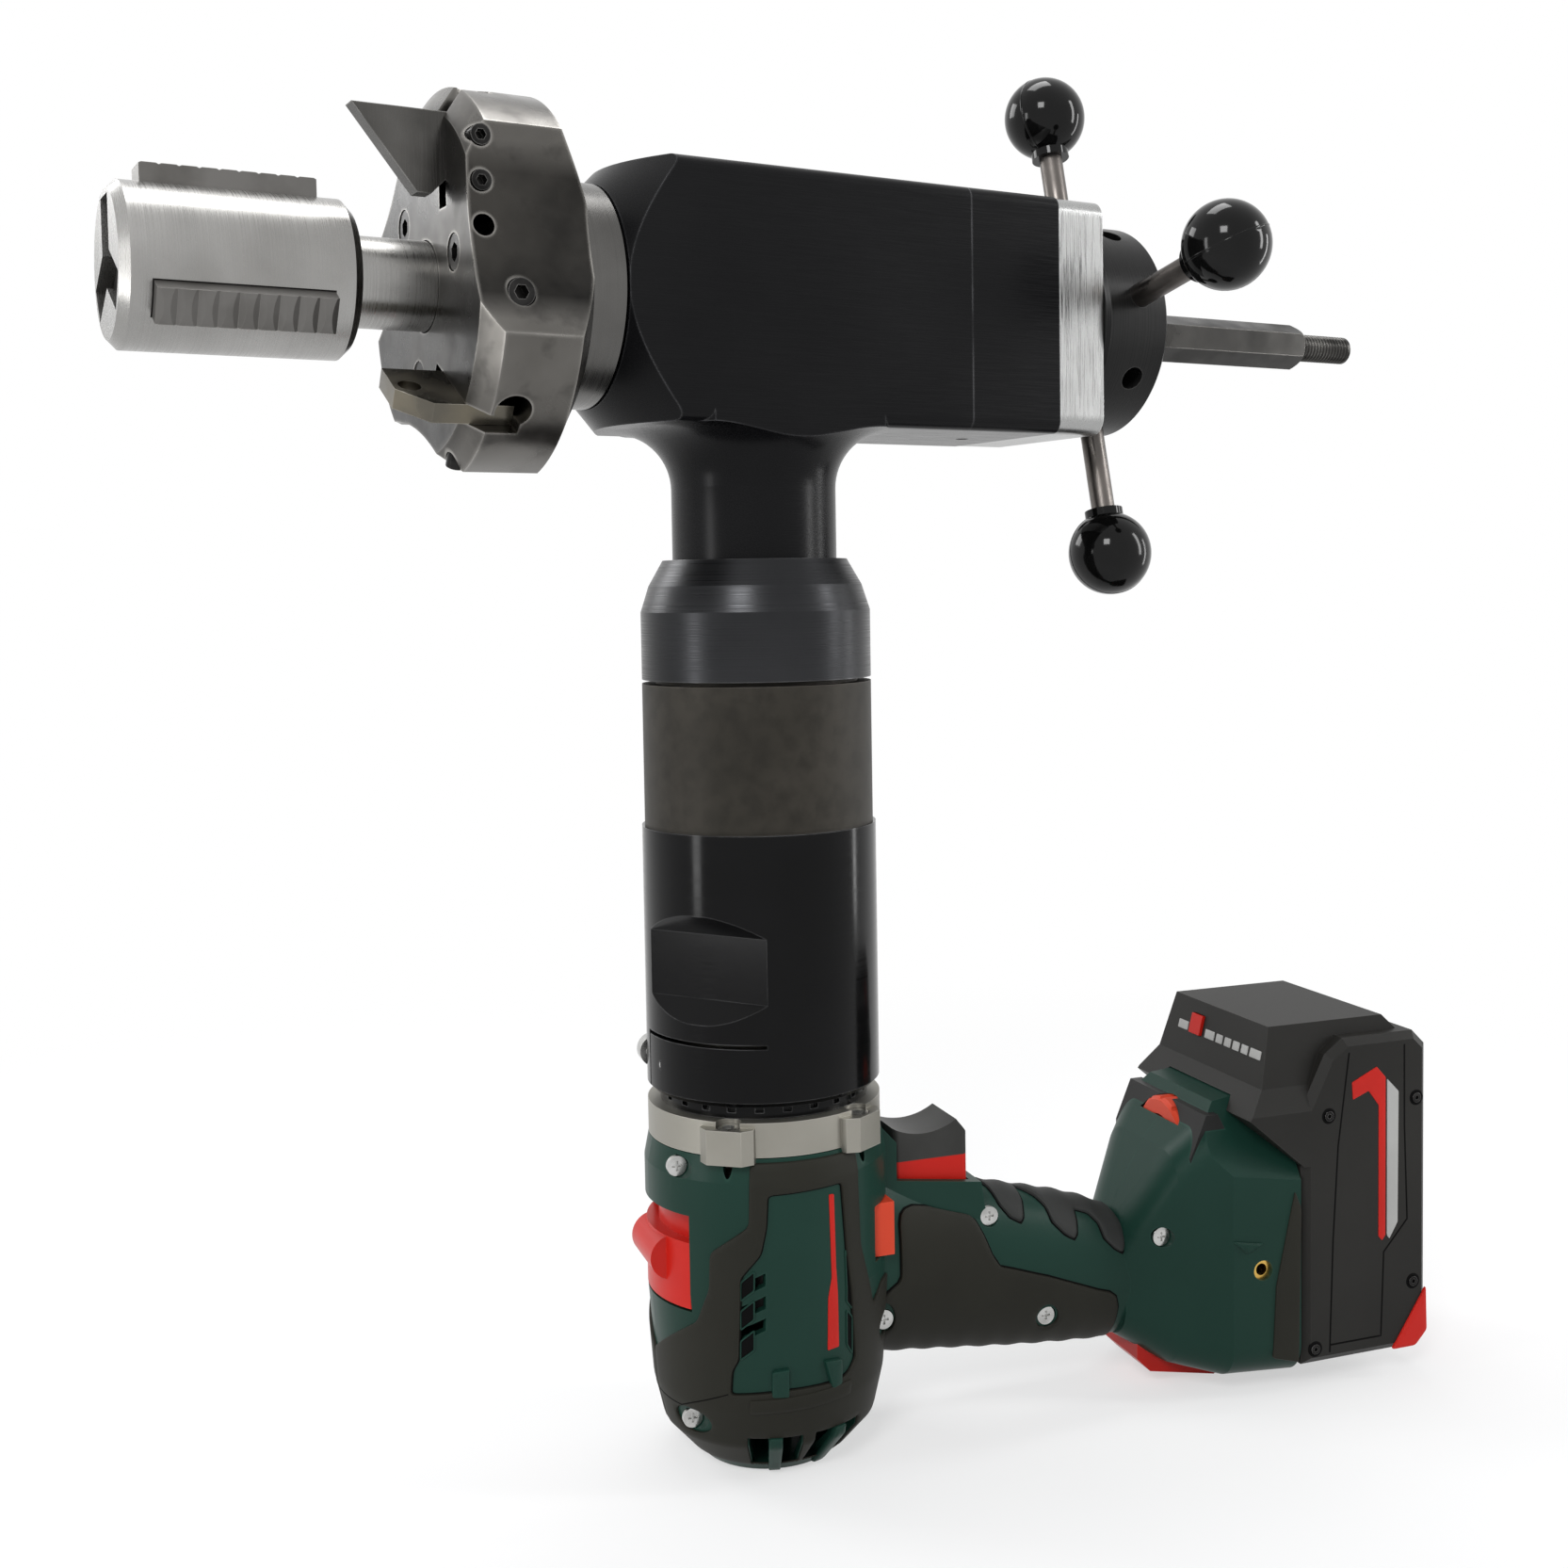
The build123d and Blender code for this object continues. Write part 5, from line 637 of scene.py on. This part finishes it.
def flat_net(outline, holes, step, rounding):
    """A flat triangle net inside an outline and outside its holes, with rows close to every edge,
    and the distance of each of its points from the nearest edge."""
    loops = [divided(np.array(loop, float), step) for loop in [outline, *holes]]
    points, edges = [*loops], []
    first = 0
    for loop in loops:
        across = left_of(unit(np.roll(loop, -1, 0) - np.roll(loop, 1, 0)))
        for away, room in NET_ROWS:
            for side in (1, -1):
                row = loop + across * (rounding * away) * side
                points.append(row[in_sheet(row, loops, rounding * room)])
        count = len(loop)
        edges += [(first + index, first + (index + 1) % count) for index in range(count)]
        first += count
    low, high = loops[0].min(0), loops[0].max(0)
    grid = np.meshgrid(np.arange(low[0], high[0], step), np.arange(low[1], high[1], step))
    grid = np.stack(grid, 2).reshape(-1, 2)
    points.append(grid[in_sheet(grid, loops, rounding + step / 2)])
    corners, _, faces, *_ = delaunay_2d_cdt(
        list(map(Vector, np.concatenate(points))), edges, [], 1, NET_TOLERANCE)
    flat, faces = np.array(corners), np.array(faces)
    faces = faces[in_sheet(flat[faces].mean(1), loops)]
    return flat, faces, np.min([distance_to(flat, loop) for loop in loops], axis=0)


# Pieces: thin plates, ribbons and turned rings

SUNK = 0.3                      # depth of a piece's rim under the surface that it lies on
RIM_LIFT = 0.35                 # share of a plate's height that its outer edge has
RIBBON_STEP = 1.2               # distance between a ribbon's sections
RIBBON_TOP = 0.3                # from a ribbon's middle to its top's edges, as a share of its width
TOP_FACE = 2                    # the middle one of the five faces of a ribbon's section
SHARP_PLATE = radians(38)       # bend past which an edge is shown sharp
SHARP_RIBBON = radians(50)


def into_row(points, far=False):
    """From the motor unit's frame in millimetres to the row frame in metres, or to the far side."""
    place = points * (1, -1 if far else 1, 1) * MM
    turn = np.array([[cos(HANDLE_SWING), -sin(HANDLE_SWING)],
                     [sin(HANDLE_SWING), cos(HANDLE_SWING)]])
    place[:, :2] = place[:, :2] @ turn.T
    place[:, 0] += COLUMN_X
    return place


def add_piece(name, places, faces, finish, body, sharp=SHARP_PLATE):
    """A smooth mesh in the row frame, with its finish, that rides on a body."""
    mesh = bpy.data.meshes.new(name)
    mesh.from_pydata(places.tolist(), [], faces)
    mesh.polygons.foreach_set("use_smooth", [True] * len(mesh.polygons))
    mesh.set_sharp_from_angle(angle=sharp)
    mesh.materials.append(MATERIALS[finish])
    mesh.update()
    piece = bpy.data.objects.new(name, mesh)
    bpy.context.collection.objects.link(piece)
    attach(piece, body)
    return piece


def faces_out(faces, turned_in, far):
    """The faces turned out: the far side's mirror image turns them round once more."""
    return [face[::-1] for face in faces] if turned_in != far else faces


def normals_of(corner):
    return np.cross(corner[:, 1] - corner[:, 0], corner[:, 2] - corner[:, 0])


def plate(name, outline, surface, proud, finish, slot=None, body="housing", holes=(), rounding=0.6,
          step=1.4, swell=None, far=False):
    """A thin plate that lies on a surface. Its outer face stands proud of the surface and falls
    away to its edges along a quarter circle, and its rim goes down into the surface."""
    flat, faces, edge = flat_net(outline, holes, step, rounding)
    u, v = flat.T
    share = np.clip(edge / rounding, 0, 1)
    lift = proud * (RIM_LIFT + (1 - RIM_LIFT) * np.sqrt(np.clip(1 - (1 - share) ** 2, 0, 1)))
    if swell is not None:
        lift = lift + swell(u, v) * share
    outer, inner = surface(u, v, lift), surface(u, v, np.full(len(u), -SUNK))
    count = len(flat)
    order = np.concatenate([faces[:, [0, 1]], faces[:, [1, 2]], faces[:, [2, 0]]])
    _, index, uses = np.unique(np.sort(order, 1), axis=0, return_index=True, return_counts=True)
    rim = order[index[uses == 1]]
    walls = np.concatenate([rim[:, [1, 0]], rim + count], 1)
    corner = outer[faces]
    turned_in = ((corner.mean(1) - inner[faces].mean(1)) * normals_of(corner)).sum() < 0
    everything = faces.tolist() + (faces[:, ::-1] + count).tolist() + walls.tolist()
    places = into_row(np.concatenate([outer, inner]), far)
    return add_piece(name, places, faces_out(everything, turned_in, far), finish, body)


def ribbon(name, chain, surface, width, height, finish, slot=None, body="housing", closed=False,
           far=False):
    """A narrow band along a chain of flat places: two rows at its sides, two low and two high ones
    between them."""
    points = np.array(chain, float)
    if closed:
        points = divided(points, RIBBON_STEP)
    else:
        pieces = []
        for start, end in zip(points[:-1], points[1:]):
            count = max(2, int(np.linalg.norm(end - start) / RIBBON_STEP))
            pieces.append(start + (end - start) * np.linspace(0, 1, count, endpoint=False)[:, None])
        points = np.concatenate(pieces + [points[-1:]])
    ahead = np.roll(points, -1, 0) - points
    behind = points - np.roll(points, 1, 0)
    if not closed:
        ahead[-1], behind[0] = behind[-1], ahead[0]
    across = left_of(unit(unit(ahead) + unit(behind)))
    half, shoulder = 0.5, 0.5 * height
    rows = []
    for share, level in ((-half, -SUNK), (-half, shoulder), (-RIBBON_TOP, height),
                         (RIBBON_TOP, height), (half, shoulder), (half, -SUNK)):
        place = points + across * width * share
        rows.append(surface(*place.T, np.full(len(place), level)))
    count, wide = len(points), len(rows)
    places = np.stack(rows, 1).reshape(-1, 3)
    here = np.arange(count if closed else count - 1)[:, None] * wide + np.arange(wide - 1)[None]
    next_row = (here + wide) % (count * wide)
    faces = np.stack([here, next_row, next_row + 1, here + 1], 2).reshape(-1, 4)
    ends = [] if closed else [list(range(wide))[::-1],
                              list(range((count - 1) * wide, count * wide))]
    outward = surface(*points.T, np.ones(count)) - surface(*points.T, np.zeros(count))
    normal = normals_of(places[faces]).reshape(-1, wide - 1, 3)[:, TOP_FACE]
    turned_in = (normal * outward[:len(normal)]).sum() < 0
    return add_piece(name, into_row(places, far), faces_out(faces.tolist() + ends, turned_in, far),
                     finish, body, SHARP_RIBBON)


def on_both_sides(make, name, *shape, **settings):
    """A plate or ribbon on the near side and its mirror image on the far side."""
    for side in ("near", "far"):
        make(f"{name}_{side}", *shape, far=side == "far", **settings)


def swept_round(name, centre, axis, profile, finish, body, count):
    """A profile of distances along and from an axis, in metres, swept round it in the row frame."""
    profile = np.array(profile)
    axis = Vector(axis).normalized()
    side = axis.orthogonal().normalized()
    third = axis.cross(side)
    angle = np.linspace(0, 2 * pi, count, endpoint=False)
    round_it = np.outer(np.cos(angle), np.array(side)) + np.outer(np.sin(angle), np.array(third))
    places = (np.array(centre) + profile[None, :, :1] * np.array(axis)
              + profile[None, :, 1:] * round_it[:, None])
    wide = len(profile)
    here = np.arange(count)[:, None] * wide + np.arange(wide - 1)[None]
    ahead = (here + wide) % (count * wide)
    faces = np.stack([here, here + 1, ahead + 1, ahead], 2).reshape(-1, 4)
    return add_piece(name, places.reshape(-1, 3), faces.tolist(), finish, body)


# Pieces of the motor barrel. Outlines are angles in degrees, from the near side towards the handle,
# and depths.

NAME_PANEL = [(-16.6, 269.2), (18.9, 268.2), (21.5, 290.5), (28.4, 325.4), (24.0, 329.0),
              (18.0, 330.4), (-9.1, 330.3), (-35.9, 331.7), (-34.7, 324.0), (-31.2, 320.3),
              (-29.6, 301.8), (-29.4, 294.6), (-20.1, 287.3), (-17.4, 278.9)]
RUBBER_EDGE = [(-24.5, 259.6), (29.3, 259.6), (29.2, 270.0), (30.5, 289.6), (36.0, 301.0),
               (41.5, 310.6), (52.0, 305.5), (90.0, 305.5), (90.0, 358.6), (-90.0, 358.6),
               (-90.0, 325.3), (-51.8, 309.9), (-44.5, 299.0), (-43.8, 287.6), (-25.3, 278.8)]
SCREW_POCKETS = ((-60.6, 343.1, 8.4), (64.0, 321.6, 8.8))     # angle, depth and half width
POCKET_TALL = 4.0               # half height of a screw's pocket in the rubber
SIDE_SLOTS = [
    [(-29.4, 295.9), (-23.2, 292.4), (-23.4, 298.3), (-29.6, 301.6)],
    [(-29.7, 304.9), (-23.5, 301.4), (-23.7, 307.4), (-30.0, 310.8)],
    [(-30.2, 314.4), (-23.8, 310.9), (-24.0, 317.1), (-30.6, 320.4)],
    [(20.9, 289.6), (24.6, 295.4), (25.4, 308.9), (21.7, 306.0)],
    [(21.9, 308.8), (25.6, 311.6), (26.6, 323.6), (22.9, 320.0)],
]
RED_WEDGE = [(12.3, 271.1), (15.0, 271.3), (15.6, 293.8), (18.0, 319.7), (11.6, 320.0),
             (11.2, 303.0), (13.2, 297.0)]
TABS = [[(-16.1, 323.8), (-7.8, 323.3), (-7.8, 332.6), (-16.2, 332.3)],
        [(9.4, 322.7), (19.3, 323.5), (19.8, 331.9), (14.0, 332.9)]]
LEDGE = [(-27.0, 332.6), (26.0, 331.0), (25.5, 336.2), (-27.4, 338.0)]
CAP_SEAM = [(-90.0, 339.0), (-66.0, 339.0), (-57.0, 336.5), (-37.0, 331.5)]
REAR_SLOTS = (-23.5, -5.5, 12.5, 30.5)      # angles of the rear air slots' middles
REAR_RIBS = (-14.5, 21.5)                   # and of the ribs between two pairs of them
SLOT_ENDS = ((5.4, 346.2), (7.2, 357.9))    # half width in degrees and depth, at the top and bottom
RIB_ENDS = ((3.6, 345.8), (4.6, 361.3))


def upright(angle, ends):
    """A strip of the barrel that keeps its width downwards, and so spans more and more degrees."""
    (top_half, top), (low_half, low) = ends
    return to_barrel([(angle - top_half, top), (angle + top_half, top),
                      (angle + low_half, low), (angle - low_half, low)])


def dress_barrel():
    """The rubber skin round its panel and openings, and what stands on it and in the panel."""
    panel = rounded(to_barrel(NAME_PANEL), radius=1.6)
    pockets = [oval((radians(angle) * BARREL_FLAT, depth), half_width, POCKET_TALL)
               for angle, depth, half_width in SCREW_POCKETS]
    slots = [upright(angle, SLOT_ENDS) for angle in REAR_SLOTS]
    on_both_sides(plate, "barrel_rubber", rounded(to_barrel(RUBBER_EDGE), radius=2.0), on_barrel,
                  proud=0.95, finish="soft_grip", holes=[panel, *pockets, *slots], rounding=0.7)
    # A black ribbon round the name panel: painted shade of the groove between panel and rubber.
    on_both_sides(ribbon, "panel_gap", panel, on_barrel, width=0.7, height=0.12,
                  finish="gap_black", slot="nylon_black", closed=True)
    # Each side slot is a flat black plate inside a green rim: painted shade of the vent opening's
    # dark inside.
    for index, slot in enumerate(SIDE_SLOTS, start=1):
        edge = rounded(to_barrel(slot), radius=0.6)
        on_both_sides(plate, f"side_slot_{index}", edge, on_barrel, proud=0.12,
                      finish="gap_black", slot="nylon_black", rounding=0.2, step=1.0)
        on_both_sides(ribbon, f"side_slot_rim_{index}", edge, on_barrel, width=0.5, height=0.35,
                      finish="casing_green", closed=True)
    on_both_sides(plate, "red_wedge", rounded(to_barrel(RED_WEDGE), radius=0.5), on_barrel,
                  proud=0.25, finish="signal_red", rounding=0.25, step=1.0)
    for index, tab in enumerate(TABS, start=1):
        on_both_sides(plate, f"panel_tab_{index}", rounded(to_barrel(tab), radius=0.9), on_barrel,
                      proud=1.5, finish="casing_green", rounding=0.9)
    for index, angle in enumerate(REAR_RIBS, start=1):
        on_both_sides(plate, f"rear_rib_{index}", rounded(upright(angle, RIB_ENDS), radius=0.8),
                      on_barrel, proud=1.9, finish="casing_green", rounding=0.9, step=1.2)
    on_both_sides(plate, "rubber_ledge", rounded(to_barrel(LEDGE), radius=1.2), on_barrel,
                  proud=1.7, finish="soft_grip", rounding=1.6)
    # A black ribbon along the cap's seam: painted shade of the seam's groove.
    on_both_sides(ribbon, "cap_seam", to_barrel(CAP_SEAM), on_barrel, width=0.5, height=1.02,
                  finish="gap_black", slot="nylon_black")


# Pieces of the handle and the foot. Outlines are places along the handle and depths on its near
# side.

PALM_START, PALM_END = 24.6, 118.9      # ends of the palm's rubber along the handle's underside
PALM_CORNER = 318.0                     # depth to which its first end goes up on the side
PALM_EDGE = [(30.2, 315.3), (38.1, 309.9), (39.1, 308.0), (39.3, 291.5), (40.1, 288.7),
             (41.9, 287.3), (44.9, 286.9), (50.2, 288.0), (63.5, 292.5), (65.7, 293.3),
             (67.5, 295.2), (69.7, 299.9), (71.9, 306.0), (74.6, 310.2), (79.6, 311.8),
             (92.4, 316.2), (111.1, 323.7), (115.4, 325.0), (117.8, 326.9), (118.9, 330.9),
             (118.9, 335.0)]
FINGER_START, FINGER_END = 72.0, 122.5  # ends of the fingers' rubber along the handle's top
FINGER_EDGE = [(72.6, 283.5), (74.4, 285.5), (76.2, 288.1), (78.0, 292.6), (80.7, 296.3),
               (84.3, 298.3), (85.7, 297.0), (87.1, 292.9), (87.3, 290.4), (92.7, 292.8),
               (95.4, 295.8), (96.3, 300.1), (100.0, 304.1), (103.3, 306.1), (104.7, 304.7),
               (105.7, 301.4), (106.2, 298.3), (111.3, 300.2), (114.2, 303.4), (115.1, 307.9),
               (118.4, 311.4), (121.2, 313.2), (122.7, 311.5), (124.0, 306.6)]
GRIP_SCREWS = [(92.54, 330.4), (33.54, 321.6)]
GRIP_POCKET = (4.0, 4.8)                # half sizes of a screw's pocket in the palm's rubber
FOOT_WEDGE = [(174.6, 292.0), (177.0, 298.1), (176.0, 351.0), (166.4, 348.5), (167.6, 324.0)]
INSERT_MARK = [(151.8, 306.9), (162.8, 308.6), (156.9, 311.6)]
RIPPLE_HEIGHT = 0.3
RIPPLE_LENGTH = 10.0
RIPPLE_START = 0.6                      # angle round the handle, in radians, at which ripples begin


def grip_ripple(u, v):
    """Shallow waves along the handle, where the fingers or the palm press."""
    share = np.clip(np.abs(v / GRIP_FLAT) - RIPPLE_START, 0, 1)
    return RIPPLE_HEIGHT * np.sin(2 * pi * u / RIPPLE_LENGTH) * share


def dress_handle():
    """The palm's and the fingers' rubber with painted shade along their gaps, the foot's wedge and
    its raised mark.
    """
    top, bottom = GRIP_FLAT * pi / 2, -GRIP_FLAT * pi / 2
    corner = to_grip([(PALM_START, PALM_CORNER)])
    palm = mirrored_about([(PALM_START, bottom), *corner, *to_grip(PALM_EDGE), (PALM_END, bottom)],
                          bottom)
    finger = mirrored_about([(FINGER_START, top), *to_grip(FINGER_EDGE), (FINGER_END, top)], top)
    pockets = [oval((place, middle), *GRIP_POCKET)
               for place, arc in to_grip(GRIP_SCREWS) for middle in (arc, 2 * bottom - arc)]
    plate("palm_rubber", rounded(palm, radius=1.0), on_grip, proud=0.95, finish="soft_grip",
          holes=pockets, swell=grip_ripple, rounding=0.8)
    plate("finger_rubber", rounded(finger, radius=1.2), on_grip, proud=1.15,
          finish="finger_grip", slot="soft_grip", swell=grip_ripple, rounding=0.9)
    # Black ribbons along the rubber's edges: painted shade of the grooves round the palm's and the
    # fingers' rubber.
    ribbon("palm_gap", palm[1:-1], on_grip, width=1.0, height=0.1,
           finish="gap_black", slot="nylon_black")
    ribbon("finger_gap", finger, on_grip, width=1.1, height=0.1,
           finish="gap_black", slot="nylon_black", closed=True)
    on_both_sides(plate, "foot_wedge", rounded(FOOT_WEDGE, radius=1.0), on_foot, proud=0.7,
                  finish="soft_grip")
    on_both_sides(plate, "insert_mark", rounded(INSERT_MARK, radius=0.5), on_foot, proud=1.2,
                  finish="casing_green", rounding=1.6, step=0.9)


# Pieces of the battery. Outlines are places along the handle and depths, or places across the nose
# and depths.

SIDE_SEAM = [(195.3, 246.7), (190.9, 278.5), (188.9, 310.6), (187.6, 349.0)]
BACK_SEAM = [(217.7, 246.0), (217.8, 274.0), (219.0, 307.0), (209.4, 317.3), (208.3, 346.5),
             (188.0, 346.5)]
RED_BAND = [(196.4, 257.0), (206.4, 252.6), (210.0, 256.6), (210.0, 311.5), (208.6, 313.2),
            (207.2, 311.5), (207.2, 266.0), (203.1, 260.6), (196.8, 263.0)]
GREY_BAND = [(210.6, 257.2), (215.3, 262.0), (215.0, 307.5), (211.6, 313.0), (210.6, 311.5)]
CORNER_GUARD = [(226.6, 331.5), (227.0, 347.0), (222.2, 352.0), (212.6, 352.0)]
CASE_SCREWS = ((187.2, 267.5), (222.6, 265.0), (221.4, 329.2), (181.8, 347.0))
POCKET_RADIUS = 2.7
SCREW_RADIUS = 1.8
SOCKET_RADIUS = 0.7
LIGHT_CELLS = ((-29.6, -23.0), (-21.6, -17.6), (-16.2, -12.2), (-10.8, -6.8), (-5.4, -1.4),
               (0.0, 6.0), (17.6, 24.0))        # ends of each cell across the nose
CELL_TOP, CELL_BOTTOM = 245.4, 248.4


def dress_battery():
    """The case's seams and screw pockets in painted shade, its bands, screws and guards on both
    sides, and the row of light cells.
    """
    ride = {"body": "battery"}
    # Black ribbons along the case's seams: painted shade of their grooves.
    for name, chain in (("case_seam", SIDE_SEAM), ("case_back_seam", BACK_SEAM)):
        on_both_sides(ribbon, name, chain, on_battery, width=0.6, height=0.08,
                      finish="gap_black", slot="battery_black", **ride)
    on_both_sides(plate, "red_band", rounded(RED_BAND, radius=0.4), on_battery, proud=0.22,
                  finish="signal_red", rounding=0.25, **ride)
    on_both_sides(plate, "grey_band", rounded(GREY_BAND, radius=0.5), on_battery, proud=0.22,
                  finish="label_grey", slot="battery_black", rounding=0.25, **ride)
    for index, place in enumerate(CASE_SCREWS, start=1):
        # A flat black disc round each screw: painted shade of its recessed pocket, which also shows
        # through the screw's socket.
        on_both_sides(plate, f"case_screw_pocket_{index}",
                      oval(place, POCKET_RADIUS, POCKET_RADIUS), on_battery, proud=0.12,
                      finish="gap_black", slot="battery_black", rounding=0.3, step=0.8, **ride)
        socket = oval(place, SOCKET_RADIUS, SOCKET_RADIUS, count=6)
        on_both_sides(plate, f"case_screw_{index}",
                      oval(place, SCREW_RADIUS, SCREW_RADIUS, count=24), on_battery, proud=0.6,
                      finish="screw_black", holes=[socket], rounding=0.4, step=0.7, **ride)
    on_both_sides(plate, "corner_guard", rounded(CORNER_GUARD, radius=1.2), on_battery, proud=0.9,
                  finish="signal_red", rounding=0.9, **ride)
    for index, (low, high) in enumerate(LIGHT_CELLS, start=1):
        cell = [(low, CELL_TOP), (high, CELL_TOP), (high, CELL_BOTTOM), (low, CELL_BOTTOM)]
        plate(f"light_cell_{index}", rounded(cell, radius=0.4), on_nose, proud=0.3,
              finish="label_grey", slot="battery_black", rounding=0.25, step=0.9, **ride)


# Pieces of the feed hub's levers

LEVERS = 4
FIRST_LEVER = -12.95            # turn of the first lever from straight up, in degrees
BALL_REACH = 78.8 * MM          # from the main axis to a ball's middle
SEAM_RADIUS = 14.08 * MM
SEAM_HALF_WIDTH = 0.35 * MM
SEAM_HEIGHT = 0.14 * MM
SEAM_TILT = Vector((0.35, 0, 0))
SEAM_ROWS = 5                   # points of the seam's profile
SEAM_STEPS = 96                 # points round the seam


def dress_levers():
    """A mould seam round each ball, close to the plane through its lever."""
    low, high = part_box("ball_knobs")
    lever_x = (low.x + high.x) / 2
    profile = [(SEAM_HALF_WIDTH * cos(angle), SEAM_RADIUS + SEAM_HEIGHT * sin(angle))
               for angle in np.linspace(0, pi, SEAM_ROWS)]
    for index in range(LEVERS):
        turn = radians(FIRST_LEVER + 360 / LEVERS * index)
        outward = Vector((0, -sin(turn), cos(turn)))
        across = Vector((1, 0, 0)).cross(outward)
        centre = Vector((lever_x, 0, 0)) + outward * BALL_REACH
        swept_round(f"ball_seam_{index + 1}", centre, across + SEAM_TILT, profile, "ball_black",
                    "feed_hub", SEAM_STEPS)


bpy.context.scene.view_settings.view_transform = "Standard"
add_camera()
for lamp in LAMPS:
    add_lamp(*lamp)
add_world()
add_floor()
dress_frame()
dress_barrel()
dress_handle()
dress_battery()
dress_levers()
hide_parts("motor_overmould")
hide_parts("grip_overmould")
